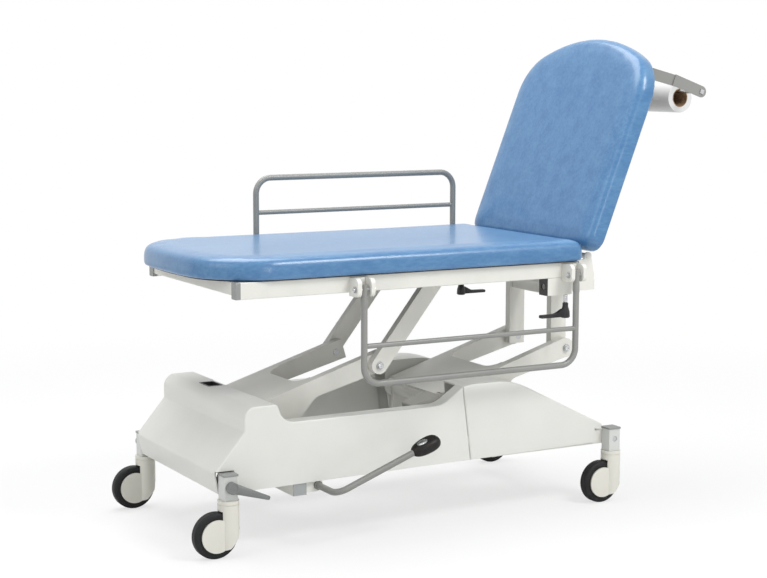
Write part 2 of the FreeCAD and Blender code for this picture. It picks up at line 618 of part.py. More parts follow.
def make_chassis():
    beams = node("chassis_side_beams")
    outer, wall = beam_y(), sizes.beam_wall
    inner, low = outer - sizes.beam_width, sizes.beam_bottom
    high = low + sizes.beam_height
    foot = -sizes.wheelbase / 2 - sizes.beam_foot_inset
    head = sizes.wheelbase / 2 + sizes.socket_width / 2
    pad(beams, "YZ", foot, head,
        rectangle(inner, outer, low, high), rectangle(-outer, -inner, low, high),
        rectangle(inner + wall, outer - wall, low + wall, high - wall),
        rectangle(-outer + wall, -inner - wall, low + wall, high - wall))
    pocket(beams, "XZ", -outer - 1, outer + 1, *[
        Circle(along * sizes.wheelbase / 2, sizes.brake_bar_height, hex_bore() + 1)
        for along in (-1, 1)])
    foot_x, head_x, post_y = sizes.stand_start_x, sizes.stand_end_x, sizes.valve_box_y
    plate = sizes.valve_plate
    pad(beams, "XY", high, high + plate,
        rectangle(foot_x, head_x, -inner - sizes.stand_reach, post_y))
    pad(beams, "XZ", post_y - plate, post_y, Path([
        (foot_x, high), (head_x, high), (head_x, sizes.stand_head_top),
        (foot_x, sizes.stand_foot_top)]))
    cross = node("chassis_cross_beams")
    half = sizes.cross_beam_width / 2
    for middle in (sizes.foot_pivot_x, sizes.head_pivot_x, sizes.head_cross_beam_x):
        pad(cross, "XY", low, low + sizes.cross_beam_height,
            rectangle(middle - half, middle + half, -inner, inner))
    tube = node("pump_cross_tube")
    left = sizes.pedal_tube_x - sizes.pedal_tube_width / 2
    right = left + sizes.pedal_tube_width
    bottom = low - sizes.pedal_tube_height
    reach = sizes.pedal_tube_half_length
    pad(tube, "XZ", -reach, reach, rectangle(left, right, bottom, low),
        rectangle(left + wall, right - wall, bottom + wall, low - wall))
    centre_z, bar = sizes.pump_shaft_z, sizes.pump_bar_diameter / 2
    radius = sizes.bearing_height / 2
    for start in (sizes.bearing_outer_y, sizes.bearing_inner_y):
        end = start + sizes.bearing_width
        pad(tube, "XZ", start, end, rectangle(
            right, sizes.pump_shaft_x, centre_z - radius, centre_z + radius - 1))
        pad(tube, "XZ", start, end, Circle(sizes.pump_shaft_x, centre_z, radius - 1))
        pocket(tube, "XZ", start - 1, end + 1,
               Circle(sizes.pump_shaft_x, centre_z, bar + sizes.running_gap))


def make_uprights():
    body = node("arm_pivot_uprights")
    half = sizes.upright_width / 2
    floor = sizes.beam_bottom + sizes.cross_beam_height
    for along, arm_y in ((sizes.foot_pivot_x, sizes.foot_arm_y),
                         (sizes.head_pivot_x, sizes.head_arm_y)):
        outer = arm_y - sizes.upright_gap
        inner = outer - sizes.upright_thickness
        pad_both(body, inner, outer, Path([
            (along - half, floor), (along + half, floor),
            (along + half, sizes.base_pivot_z + half, half * 0.9),
            (along - half, sizes.base_pivot_z + half, half * 0.9)]))
        bore = sizes.pivot_pin_diameter / 2 + sizes.running_gap
        pocket_both(body, inner - 1, outer + 1, Circle(along, sizes.base_pivot_z, bore))
    pins = node("base_pivot_pins")
    for along, arm_y in ((sizes.foot_pivot_x, sizes.foot_arm_y),
                         (sizes.head_pivot_x, sizes.head_arm_y)):
        reach = arm_y + sizes.arm_width + 2
        pad(pins, "XZ", -reach, reach,
            Circle(along, sizes.base_pivot_z, sizes.pivot_pin_diameter / 2))
        pad_both(pins, reach, reach + sizes.pin_head_height,
                 Circle(along, sizes.base_pivot_z, sizes.pin_head_diameter / 2 + 2))


# Casings

def casing_shell(body, outer, inner, open_low, open_high, open_half):
    """A hollow moulding: outer outline, side cavities and an open well in the middle."""
    half, wall = sizes.casing_half_width, sizes.casing_wall
    pad(body, "XZ", -half, half, Path(outer))
    round_edges(body, sizes.casing_edge,
                lambda edge: (level(edge, "Y", half) or level(edge, "Y", -half))
                and edge.BoundBox.ZMax > sizes.tail_bottom_z.value + 5)
    pocket_both(body, open_half + wall, half - wall, Path(inner))
    pocket(body, "XZ", -open_half, open_half, Path(inner))
    pocket(body, "XY", sizes.inner_edge_z, sizes.deck_z + sizes.cut_past,
           rectangle(open_low, open_high, -open_half, open_half))
    return body


def make_foot_casing():
    body = node("foot_casing")
    wall = sizes.casing_wall
    seam = [(sizes.seam_top_x, sizes.seam_top_z), (sizes.seam_bottom_x, sizes.seam_bottom_z)]
    outer = [
        (sizes.casing_foot_x, sizes.casing_foot_bottom), (sizes.crease_x, sizes.crease_z, sizes.crease_corner),
        (sizes.nose_x, sizes.nose_z, sizes.nose_corner),
        (sizes.nose_x, sizes.deck_z, sizes.deck_corner),
        (sizes.deck_back_x, sizes.deck_z, sizes.deck_back_corner),
        (sizes.flank_foot_x, sizes.rim_z, sizes.flank_curve),
        (sizes.rise_x, sizes.rim_z, sizes.rise_curve), *seam]
    beyond = sizes.seam_bottom_x + sizes.cut_past
    rise = (sizes.seam_top_z - sizes.rim_z) / (sizes.seam_top_x - sizes.rise_x)
    inner = [
        (sizes.casing_foot_x + wall * 1.1, sizes.casing_foot_bottom - sizes.cut_past),
        (sizes.casing_foot_x + wall * 1.1, sizes.casing_foot_bottom),
        (sizes.crease_x + wall * 1.1, sizes.crease_z - wall * 0.3),
        (sizes.nose_x + wall, sizes.nose_z - wall * 0.3),
        (sizes.nose_x + wall, sizes.deck_z - wall, sizes.deck_corner - wall),
        (sizes.deck_back_x - wall, sizes.deck_z - wall, sizes.deck_back_corner - wall),
        (sizes.flank_foot_x - wall * 0.7, sizes.rim_z - wall, sizes.flank_curve),
        (sizes.rise_x + wall * 0.3, sizes.rim_z - wall, sizes.rise_curve),
        (beyond, sizes.seam_top_z + (beyond - sizes.seam_top_x) * rise - wall * 1.2),
        (beyond, sizes.casing_foot_bottom - sizes.cut_past)]
    half, well = sizes.casing_half_width, sizes.casing_half_width - sizes.rim_width
    casing_shell(body, outer, inner, sizes.deck_back_x, beyond, well)
    # A relief in the deck's back edge clears the raised foot arms.
    arms = sizes.foot_arm_y + sizes.arm_width + sizes.arm_relief_gap
    pocket(body, "XY", sizes.inner_edge_z, sizes.deck_z + sizes.cut_past, rectangle(
        sizes.deck_back_x - sizes.arm_relief, sizes.deck_back_x + sizes.cut_past, -arms, arms))
    low = sizes.casing_foot_bottom - 2 * sizes.cut_past
    pocket(body, "XY", low, sizes.inner_edge_z, rectangle(
        sizes.deck_back_x - sizes.hood_start, beyond, -half + wall, half - wall))
    notch_x = -sizes.wheelbase / 2 + sizes.socket_width / 2 + sizes.notch_clearance
    notch_y = sizes.castor_track / 2 - sizes.socket_width / 2 - sizes.notch_clearance
    start = sizes.crease_x - sizes.cut_past
    pocket(body, "XY", low, sizes.foot_notch_z,
           rectangle(start, notch_x, notch_y, half + sizes.cut_past),
           rectangle(start, notch_x, -half - sizes.cut_past, -notch_y))
    pocket(body, "XY", low, sizes.inner_edge_z, rectangle(
        sizes.casing_foot_x + sizes.rib_cut_start, sizes.deck_back_x, -notch_y + wall, notch_y - wall))
    pocket(body, "XY", sizes.deck_z - 2 * sizes.cut_past, sizes.deck_z + 1, rectangle(
        sizes.tray_x, sizes.tray_x + sizes.tray_length,
        sizes.tray_y, sizes.tray_y + sizes.tray_width, sizes.tray_corner))
    tray = node("deck_tray")
    gap, lip, brim = sizes.seat_gap, sizes.tray_lip, sizes.tray_flange
    high = sizes.deck_z
    sides = (sizes.tray_x + gap, sizes.tray_x + sizes.tray_length - gap,
             sizes.tray_y + gap, sizes.tray_y + sizes.tray_width - gap)
    pad(tray, "XY", high - sizes.tray_depth, high, rectangle(*sides, sizes.tray_corner - gap))
    pad(tray, "XY", high, high + lip, rectangle(
        sides[0] - brim, sides[1] + brim, sides[2] - brim, sides[3] + brim,
        sizes.tray_corner + brim))
    edge = sizes.tray_wall
    pocket(tray, "XY", high - sizes.tray_depth + edge, high + lip + 1, rectangle(
        sides[0] + edge, sides[1] - edge, sides[2] + edge, sides[3] - edge,
        sizes.tray_corner / 2))


def make_head_casing():
    body = node("head_casing")
    wall, gap = sizes.casing_wall, sizes.seam_gap
    outer = [
        (sizes.seam_bottom_x + gap, sizes.seam_bottom_z), (sizes.seam_top_x + gap, sizes.seam_top_z),
        (sizes.seam_top_x + sizes.shoulder_run, sizes.deck_z, sizes.shoulder_curve),
        (sizes.crest_x, sizes.deck_z, sizes.crest_curve),
        (sizes.tail_x, sizes.tail_z, sizes.tail_corner),
        (sizes.tail_bottom_x, sizes.tail_bottom_z)]
    before = sizes.seam_top_x - sizes.cut_past
    inner = [
        (before, sizes.casing_foot_bottom - sizes.cut_past), (before, sizes.deck_z - 3 * wall),
        (sizes.seam_top_x + sizes.shoulder_run, sizes.deck_z - wall),
        (sizes.crest_x - wall * 0.25, sizes.deck_z - wall, sizes.crest_curve),
        (sizes.tail_x - wall * 1.7, sizes.tail_z - wall * 0.4),
        (sizes.tail_bottom_x - wall, sizes.tail_bottom_z - 2),
        (sizes.tail_bottom_x - wall, sizes.casing_foot_bottom - sizes.cut_past)]
    half = sizes.casing_half_width
    casing_shell(body, outer, inner, before, sizes.slot_end_x, sizes.slot_half_width)
    low = sizes.casing_foot_bottom - 2 * sizes.cut_past
    pocket(body, "XY", low, sizes.inner_edge_z, rectangle(
        before, sizes.tail_bottom_x - wall, -half + wall, half - wall))
    side = sizes.head_notch_y
    pocket(body, "XY", low, sizes.head_notch_z,
           rectangle(sizes.head_notch_x, sizes.tail_x + sizes.cut_past, side, half + sizes.cut_past),
           rectangle(sizes.head_notch_x, sizes.tail_x + sizes.cut_past, -half - sizes.cut_past, -side))
    slot = sizes.link_slot_width / 2
    pocket(body, "XY", low, sizes.link_slot_top, rectangle(
        sizes.head_notch_x, sizes.tail_x + sizes.cut_past, sizes.brake_link_y - slot,
        sizes.brake_link_y + slot))


# Lift

def top_pivot(base_x):
    """Where an arm's upper pivot lies at rest."""
    return (base_x + sizes.arm_length * cosine(sizes.rest_angle),
            sizes.base_pivot_z + sizes.arm_length * sine(sizes.rest_angle))


def fork_arms(name, base_x, inner, round_tip):
    body = node(name, base_x, 0, sizes.base_pivot_z, sizes.rest_angle)
    outer = inner + sizes.arm_width
    length = sizes.arm_length
    end = length if round_tip else length + sizes.arm_end
    pad_both(body, inner, outer, Path([
        (0, sizes.arm_top), (0, -sizes.arm_boss_diameter / 2),
        (sizes.flange_heel_x, -sizes.flange_heel_bottom, sizes.flange_heel_curve),
        (sizes.flange_x, -sizes.flange_bottom, sizes.flange_curve),
        (sizes.arm_waist_x, -sizes.arm_waist_bottom, sizes.waist_curve),
        (end, -sizes.arm_tip_bottom), (end, sizes.arm_top)]))
    pad_both(body, inner, outer, Circle(0, 0, sizes.arm_boss_diameter / 2))
    if round_tip:
        pad_both(body, inner, outer, Circle(length, 0, sizes.arm_tip_radius))
    bore = sizes.pivot_pin_diameter / 2
    play = sizes.open_pivot_gap if round_tip else sizes.running_gap
    pocket_both(body, inner - 1, outer + 1, Circle(0, 0, bore + sizes.running_gap),
                Circle(length, 0, bore + play))
    return body


def fork_web(name, base_x, half, end):
    """The plate that joins two arms, with rounded inner corners at its open end."""
    body = node(name, base_x, 0, sizes.base_pivot_z, sizes.rest_angle)
    ear_end = end + sizes.web_ear_length
    inner = half - sizes.web_ear
    pad(body, "XY", sizes.arm_top - sizes.web_thickness, sizes.arm_top, Path([
        (sizes.web_start, -half), (ear_end, -half), (ear_end, -inner),
        (end, -inner, sizes.web_corner), (end, inner, sizes.web_corner),
        (ear_end, inner), (ear_end, half), (sizes.web_start, half)]))
    return body


def make_lift():
    fork_arms("foot_fork_arms", sizes.foot_pivot_x, sizes.foot_arm_y, False)
    fork_web("foot_fork_web", sizes.foot_pivot_x, sizes.foot_arm_y, sizes.foot_web_end)
    fork_arms("head_fork_arms", sizes.head_pivot_x, sizes.head_arm_y, True)
    web = fork_web("head_fork_web", sizes.head_pivot_x, sizes.head_arm_y, sizes.head_web_end)
    lift_crank(web)


def lift_crank(body):
    """The hub tube and the two cheeks that the ram pushes, under the head fork's web."""
    hub = sizes.hub_diameter / 2
    reach = sizes.head_arm_y - sizes.upright_gap - sizes.upright_thickness - 2
    pad(body, "XZ", -reach, reach, Circle(0, 0, hub))
    cheek_in = sizes.ram_cheek_gap
    cheek_out = cheek_in + sizes.ram_cheek
    pin = sizes.ram_pin_diameter / 2
    wide = pin + 5
    lean = sizes.ram_crank_angle - sizes.rest_angle
    pin_x = sizes.ram_crank_length * sine(lean)
    pin_z = -sizes.ram_crank_length * cosine(lean)
    turn, rise = cosine(lean), sine(lean)
    root = hub * 0.9
    pad_both(body, cheek_in, cheek_out, Path([
        (-root * turn, -root * rise), (pin_x - wide * turn, pin_z - wide * rise),
        (pin_x + wide * turn, pin_z + wide * rise), (root * turn, root * rise)]))
    pad_both(body, cheek_in, cheek_out, Circle(pin_x, pin_z, wide))
    pad(body, "XZ", -cheek_in, cheek_in, Circle(pin_x, pin_z, pin))
    # A saddle block joins the hub to the web.
    pad(body, "XZ", -reach * 0.6, reach * 0.6,
        rectangle(-hub * 0.7, hub * 0.7, hub * 0.3, sizes.arm_top - sizes.web_thickness))
    pocket(body, "XZ", -reach - 1, reach + 1,
           Circle(0, 0, sizes.pivot_pin_diameter / 2 + sizes.running_gap))


# Hydraulics

def make_hydraulics():
    pump = node("hydraulic_pump")
    low = sizes.beam_bottom
    start, end = sizes.pump_plate_x, sizes.pump_plate_x + sizes.pump_plate_length
    inner = beam_y() - sizes.beam_width
    deck = low + sizes.pump_plate_thickness
    pad(pump, "XY", low, deck, rectangle(start, end, -inner, inner))
    half = sizes.pump_block_width / 2
    pad(pump, "XY", deck, sizes.pump_block_top, rectangle(
        start + 5, sizes.ram_start_x, -half, half, sizes.pump_block_corner))
    barrel, gland = sizes.ram_start_x, sizes.ram_end_x - sizes.ram_gland
    pad(pump, "YZ", barrel, sizes.ram_end_x,
        Circle(0, sizes.ram_axis_z, sizes.ram_outer_diameter / 2))
    pocket(pump, "YZ", barrel + 10, gland,
           Circle(0, sizes.ram_axis_z, sizes.ram_inner_diameter / 2))
    pocket(pump, "YZ", gland - 1, sizes.ram_end_x + 1,
           Circle(0, sizes.ram_axis_z, sizes.ram_rod_diameter / 2 + sizes.running_gap))
    rod = node("ram_rod", sizes.head_pivot_x, 0, sizes.ram_axis_z)
    pin_x = sizes.ram_crank_length * sine(sizes.ram_crank_angle)
    slot = sizes.ram_pin_diameter / 2 + sizes.ram_pin_play
    wall = sizes.yoke_wall
    width = sizes.ram_cheek_gap - 1
    rise = sizes.ram_pin_diameter / 2 + 2
    pad(rod, "XZ", -width, width, rectangle(
        pin_x - slot - wall, pin_x + slot + wall, -rise - wall, rise + sizes.ram_lift + wall, 4))
    pocket(rod, "XZ", -width - 1, width + 1, rectangle(
        pin_x - slot, pin_x + slot, -rise, rise + sizes.ram_lift, 5))
    inside = sizes.ram_start_x - sizes.head_pivot_x + 70
    pad(rod, "YZ", inside, pin_x - slot - wall + 1, Circle(0, 0, sizes.ram_rod_diameter / 2))
    pad(rod, "YZ", inside, inside + sizes.piston_length,
        Circle(0, 0, sizes.ram_inner_diameter / 2 - sizes.piston_gap))
    box = node("valve_box", sizes.valve_box_x, sizes.valve_box_y, sizes.valve_box_z,
               sizes.valve_box_lean)
    pad(box, "XZ", 0, sizes.valve_box_width, rectangle(
        0, sizes.valve_box_length, 0, sizes.valve_box_height,
        sizes.valve_box_corner))


def make_pump_pedal():
    lever = node("pump_lever", sizes.pump_shaft_x, 0, sizes.pump_shaft_z, sizes.pump_arm_rise)
    bar = sizes.pump_bar_diameter / 2
    start = sizes.bearing_inner_y + sizes.bearing_width + 15
    sweep(lever, "XY", 0, [
        (0, start), (0, sizes.pump_arm_y, sizes.pump_bend), (sizes.pump_arm_length, sizes.pump_arm_y)],
        "XZ", start, Circle(0, 0, bar))
    collar = sizes.pump_collar_diameter / 2
    gap = sizes.seat_gap
    pad(lever, "XZ", sizes.bearing_outer_y - gap - sizes.collar_width, sizes.bearing_outer_y - gap,
        Circle(0, 0, collar))
    pad(lever, "XZ", start - sizes.stop_width, start, Circle(0, 0, collar))
    pedal = node("pump_pad", sizes.pump_shaft_x, sizes.pump_arm_y, sizes.pump_shaft_z,
                 sizes.pump_arm_rise)
    low, high = sizes.pump_pad_start, sizes.pump_pad_start + sizes.pump_pad_length
    wide, tall = sizes.pump_pad_width / 2, sizes.pump_pad_height / 2
    neck, swell = wide * 0.6, low + sizes.pump_pad_swell
    pad(pedal, "XY", -tall, tall, Path([
        (low, -neck, sizes.pump_pad_corner), (swell, -wide, sizes.pump_pad_curve),
        (high, -wide, wide * 0.8), (high, wide, wide * 0.8),
        (swell, wide, sizes.pump_pad_curve), (low, neck, sizes.pump_pad_corner)]))
    round_edges(pedal, tall * 0.6,
                lambda edge: level(edge, "Z", tall) or level(edge, "Z", -tall))
    pocket(pedal, "YZ", low - 1, sizes.pump_arm_length + 1, Circle(0, 0, bar + sizes.running_gap))


# Couch frame

def frame_bottom():
    return sizes.frame_top - sizes.frame_height


def frame_inner():
    """Inner face of the side tubes."""
    return sizes.frame_half_width - sizes.side_tube_width


def mid_cross_x():
    """The foot legs lean from the lift's top pivot to the middle cross tube."""
    pivot_x, pivot_z = top_pivot(sizes.foot_pivot_x)
    return pivot_x + (frame_bottom() - pivot_z) * sine(sizes.leg_lean) / cosine(sizes.leg_lean)


def head_leg_x():
    """Foot face of the head legs: the lift's top pivot lies near their middle."""
    return top_pivot(sizes.head_pivot_x)[0] - sizes.head_leg_offset - sizes.head_leg_width / 2


def head_cross_x():
    return head_leg_x() - sizes.head_cross_lead


def hinge_tab_x():
    """The hinge plates reach down past the head cross tube."""
    return head_cross_x() - sizes.hinge_tab_lead


def receiver_x():
    """The receivers end just before the hinge plates' tabs."""
    return hinge_tab_x() - sizes.receiver_gap - sizes.receiver_length


def clamp_x():
    return receiver_x() + sizes.clamp_along


def make_frame():
    sides = node("frame_side_tubes")
    outer, low, high, wall = sizes.frame_half_width, frame_bottom(), sizes.frame_top, sizes.tube_wall
    inner = outer - sizes.side_tube_width
    pad(sides, "YZ", sizes.side_tube_foot_x, sizes.side_tube_head_x,
        rectangle(inner, outer, low, high, sizes.tube_corner), rectangle(-outer, -inner, low, high, sizes.tube_corner),
        rectangle(inner + wall, outer - wall, low + wall, high - wall),
        rectangle(-outer + wall, -inner - wall, low + wall, high - wall))
    caps = node("tube_end_caps")
    pad(caps, "YZ", sizes.side_tube_foot_x - sizes.foot_cap_length, sizes.side_tube_foot_x,
        rectangle(inner, outer, low, high, sizes.tube_corner), rectangle(-outer, -inner, low, high, sizes.tube_corner))
    pad(caps, "YZ", sizes.side_tube_head_x, sizes.side_tube_head_x + sizes.head_cap_length,
        rectangle(inner, outer, low, high, sizes.tube_corner), rectangle(-outer, -inner, low, high, sizes.tube_corner))
    cross = node("frame_cross_tubes")
    middle = mid_cross_x()
    tubes = (
        (sizes.foot_cross_x, sizes.foot_cross_width, sizes.foot_cross_height),
        (middle - sizes.mid_cross_width / 2, sizes.mid_cross_width, sizes.frame_height))
    for start, width, height in tubes:
        pad(cross, "XZ", -inner, inner,
            rectangle(start, start + width, high - height, high, sizes.tube_corner),
            rectangle(start + wall, start + width - wall, high - height + wall, high - wall))
    left, base = head_cross_x(), sizes.head_cross_bottom
    right, roof = left + sizes.head_cross_width, base + sizes.head_cross_height
    pad(cross, "XZ", -sizes.hinge_plate_y, sizes.hinge_plate_y,
        rectangle(left, right, base, roof, sizes.tube_corner),
        rectangle(left + wall, right - wall, base + wall, roof - wall))
    plates = node("hinge_plates")
    ear = sizes.hinge_ear_radius
    hinge_x, hinge_z, slope_x = sizes.hinge_x, sizes.hinge_z, right - sizes.hinge_tab_inset
    pad_both(plates, sizes.hinge_plate_y, inner, Path([
        (sizes.hinge_plate_x, low), (hinge_tab_x(), low),
        (hinge_tab_x(), base, 4), (slope_x, base, 4), (slope_x, low, 10),
        (hinge_x + ear * 0.94, hinge_z - ear * 0.34), (hinge_x, hinge_z),
        (hinge_x - ear, hinge_z), (hinge_x - ear, high, 6), (sizes.hinge_plate_x, high)]))
    pad_both(plates, sizes.hinge_plate_y, inner, Circle(hinge_x, hinge_z, ear))
    pocket_both(plates, sizes.hinge_plate_y - 1, inner + 1,
                Circle(hinge_x, hinge_z, sizes.hinge_bar_diameter / 2 + sizes.running_gap))


def make_legs():
    foot = node("foot_legs")
    pivot_x, pivot_z = top_pivot(sizes.foot_pivot_x)
    half = sizes.leg_width / 2
    turn, lean = cosine(sizes.leg_lean), sine(sizes.leg_lean)
    top, top_x = frame_bottom(), mid_cross_x()
    inner, outer = sizes.foot_leg_y, sizes.foot_leg_y + sizes.leg_thickness
    pad_both(foot, inner, outer, Path([
        (pivot_x - half * turn, pivot_z + half * lean),
        (pivot_x + half * turn, pivot_z - half * lean),
        (top_x + half / turn, top), (top_x - half / turn, top)]))
    pad_both(foot, inner, outer, Circle(pivot_x, pivot_z, half))
    pin = sizes.pivot_pin_diameter / 2
    bore = pin + sizes.running_gap
    pocket_both(foot, inner - 1, outer + 1, Circle(pivot_x, pivot_z, bore))
    head = node("head_legs")
    head_x, head_z = top_pivot(sizes.head_pivot_x)
    leg_in, leg_out = sizes.head_leg_y, sizes.head_leg_y + sizes.leg_thickness
    high = sizes.head_cross_bottom
    pad_both(head, leg_in, leg_out, rectangle(
        head_leg_x(), head_leg_x() + sizes.head_leg_width, head_z - sizes.head_leg_end, high,
        sizes.tube_corner))
    pocket_both(head, leg_in - 1, leg_out + 1, Circle(head_x, head_z, bore))
    bar_x = head_leg_x() + (sizes.head_leg_width - sizes.leg_bar_width) / 2
    pad(head, "XZ", -leg_in, leg_in, rectangle(
        bar_x, bar_x + sizes.leg_bar_width, sizes.leg_bar_bottom, high,
        sizes.tube_corner))
    pins = node("frame_pins_and_bolts")
    knob = sizes.pin_head_diameter / 2
    pad_both(pins, sizes.foot_arm_y - 2, outer, Circle(pivot_x, pivot_z, pin))
    pad_both(pins, outer, outer + sizes.pin_head_height, Circle(pivot_x, pivot_z, knob))
    arm_out = sizes.head_arm_y + sizes.arm_width + 1
    pad_both(pins, leg_in, arm_out, Circle(head_x, head_z, pin))
    pad_both(pins, arm_out, arm_out + sizes.pin_head_height, Circle(head_x, head_z, knob))
    make_brackets(pins)


def make_brackets(bolts):
    """The cot side brackets on the rails, and their bolts, which join the frame's pins."""
    body = node("cot_brackets")
    root, side = sizes.frame_half_width, sizes.cot_y
    low = sizes.cot_pivot_z - sizes.bracket_drop
    high = low + sizes.bracket_height
    ear = sizes.ear_radius
    half = sizes.bracket_width / 2
    bolt = sizes.cot_bolt_diameter / 2
    for along in (sizes.foot_post_x, sizes.head_post_x):
        pad(body, "YZ", along - half, along + half,
            rectangle(root, root + sizes.bracket_root, low, high, sizes.small_corner),
            rectangle(-root - sizes.bracket_root, -root, low, high, sizes.small_corner))
        for start in (along - half, along + half - sizes.ear_thickness):
            end = start + sizes.ear_thickness
            pad(body, "YZ", start, end,
                rectangle(root + 1, side + ear, low, high, ear),
                rectangle(-side - ear, -root - 1, low, high, ear))
            pocket(body, "YZ", start - 1, end + 1,
                   Circle(side, sizes.cot_pivot_z, bolt + sizes.running_gap),
                   Circle(-side, sizes.cot_pivot_z, bolt + sizes.running_gap))
        pad(bolts, "YZ", along - half, along + half,
            Circle(side, sizes.cot_pivot_z, bolt), Circle(-side, sizes.cot_pivot_z, bolt))
        head = sizes.bolt_head_diameter / 2
        for start in (along - half - sizes.bolt_head_height, along + half):
            pad(bolts, "YZ", start, start + sizes.bolt_head_height,
                Circle(side, sizes.cot_pivot_z, head), Circle(-side, sizes.cot_pivot_z, head))


def cot_side(name, across, up):
    """A folding side: a bent hoop with a middle bar. up is 1 standing and -1 hanging."""
    body = node(name, 0, across, sizes.cot_pivot_z)
    left, right = sizes.foot_post_x, sizes.head_post_x
    radius = sizes.cot_tube / 2
    stub = -up * sizes.post_stub
    sweep(body, "XZ", 0, [
        (left, stub), (left, up * sizes.cot_reach, sizes.cot_corner),
        (right, up * sizes.cot_reach, sizes.cot_corner), (right, stub)],
        "XY", stub, Circle(left, 0, radius))
    pad(body, "YZ", left, right, Circle(0, up * sizes.cot_mid_reach, sizes.cot_mid_tube / 2))
    bolt = sizes.cot_bolt_diameter / 2 + sizes.running_gap
    for along in (left, right):
        pocket(body, "YZ", along - radius - 1, along + radius + 1, Circle(0, 0, bolt))
    return body


def make_receivers():
    body = node("accessory_receivers")
    plates = node("receiver_plates")
    start, end = receiver_x(), receiver_x() + sizes.receiver_length
    inner, outer = sizes.receiver_inner_y, sizes.frame_half_width
    high = frame_bottom()
    low = high - sizes.receiver_height
    middle = (low + high) / 2
    bore = sizes.receiver_bore_diameter / 2
    pad(body, "XY", low, high,
        Path([(start, inner), (end, inner), (end, outer, sizes.receiver_corner), (start, outer)]),
        Path([(start, -outer), (end, -outer, sizes.receiver_corner), (end, -inner),
              (start, -inner)]))
    pocket(body, "YZ", start, start + sizes.receiver_bore_depth,
           Circle(sizes.clamp_y, middle, bore), Circle(-sizes.clamp_y, middle, bore))
    stud = sizes.clamp_stud_diameter / 2 + sizes.running_gap
    pocket(body, "XY", low, middle, Circle(clamp_x(), sizes.clamp_y, stud),
           Circle(clamp_x(), -sizes.clamp_y, stud))
    pad(plates, "YZ", start - sizes.receiver_plate, start,
        rectangle(sizes.clamp_y - 20, outer, low, high),
        rectangle(-outer, -sizes.clamp_y + 20, low, high))
    pocket(plates, "YZ", start - sizes.receiver_plate - 1, start + 1,
           Circle(sizes.clamp_y, middle, bore), Circle(-sizes.clamp_y, middle, bore))


def clamp_lever(name, across, facing):
    """A black hand lever on a stud; facing is -1 with its arm to the foot, 1 to the head."""
    body = node(name, clamp_x(), across)
    low, high = sizes.clamp_hub_bottom, sizes.clamp_hub_top
    stud = sizes.clamp_stud_diameter / 2
    top = sizes.clamp_hub_top_diameter / 2
    wide = sizes.clamp_hub_diameter / 2
    bore_low = frame_bottom() - sizes.receiver_height / 2 - sizes.receiver_bore_diameter / 2
    revolve(body, "XZ", Path([
        (0, low), (wide - 3, low), (wide, low + 3), (wide - 1, low + 18), (top, high - 10),
        (top, high), (0, high)]))
    pad(body, "XY", high, bore_low - 0.5, Circle(0, 0, stud))
    half = sizes.clamp_arm_width / 2
    thick = sizes.clamp_arm_thickness
    reach = sizes.clamp_reach
    pad(body, "XZ", -half, half, Path([
        (0, low + 3), (facing * reach, low + 3, 3), (facing * reach, low + 3 + thick, 3),
        (facing * (wide + 22), low + 4 + thick, 40), (facing * (wide - 2), low + 26), (0, low + 26)]))
    return body


# Pads

def rounded_end(side_x, corner, slope, facing, inset):
    """A pad's rounded end: a shallow arc between two corner arcs."""
    half = sizes.pad_half_width - inset
    lift = sizes.pad_half_width - corner
    radius = corner - inset
    tip_x = side_x + facing * radius * cosine(slope)
    tip_y = lift + radius * sine(slope)
    return [(side_x, -facing * half, radius),
            (tip_x, -facing * tip_y, lift / sine(slope) + radius),
            (tip_x, facing * tip_y, radius), (side_x, facing * half)]


def seat_outline(inset):
    half, head = sizes.pad_half_width - inset, sizes.seat_head_x - inset
    end = rounded_end(sizes.seat_side_x, sizes.seat_corner, sizes.seat_front_slope, -1, inset)
    return Bowed([(head, half), *end, (head, -half)])


def back_outline(inset):
    half, start = sizes.pad_half_width - inset, sizes.back_start + inset
    end = rounded_end(sizes.back_side_u, sizes.back_corner, sizes.back_top_slope, 1, inset)
    return Bowed([(start, -half), *end, (start, half)])


def at_corner(edge, along, across):
    box = edge.BoundBox
    return runs_along(edge, "Z") and abs(box.XMin - along.value) < 0.1 \
        and abs(abs(box.YMin) - across.value) < 0.1


def pad_blank(body, low, high, outline, end, corner, inset):
    """A slab with a pad's outline and rounded corners at its squared end."""
    pad(body, "XY", low, high, outline(inset))
    half = sizes.pad_half_width - inset
    round_edges(body, corner - inset * 0.5, lambda edge: at_corner(edge, end, half))


def soft_edges(body, low, high):
    round_edges(body, sizes.pad_top_edge, lambda edge: level(edge, "Z", high))
    round_edges(body, sizes.pad_low_edge, lambda edge: level(edge, "Z", low))


def make_seat():
    low, high = sizes.frame_top, sizes.frame_top + sizes.pad_thickness
    board_top = low + sizes.board_thickness
    head, corner = sizes.seat_head_x, sizes.seat_head_corner
    board = node("seat_board")
    inset = sizes.board_inset
    pad_blank(board, low, board_top, seat_outline, head - inset, corner, inset)
    cushion = node("seat_pad")
    pad_blank(cushion, low, high, seat_outline, head, corner, Size.of(0))
    soft_edges(cushion, low, high)
    pocket(cushion, "XY", low - 1, board_top + sizes.board_gap,
           seat_outline(inset - sizes.board_gap))


def back_node(name):
    return node(name, sizes.hinge_x, 0, sizes.hinge_z, sizes.back_angle)


def make_backrest():
    front = sizes.back_depth
    rear = front - sizes.pad_thickness
    board_top = rear + sizes.board_thickness
    start, corner = sizes.back_start, sizes.back_foot_corner
    board = back_node("backrest_board")
    inset = sizes.board_inset
    pad_blank(board, rear, board_top, back_outline, start + inset, corner, inset)
    cushion = back_node("backrest_pad")
    pad_blank(cushion, rear, front, back_outline, start, corner, Size.of(0))
    soft_edges(cushion, rear, front)
    pocket(cushion, "XY", rear - 1, board_top + sizes.board_gap,
           back_outline(inset - sizes.board_gap))
    make_back_frame(rear)


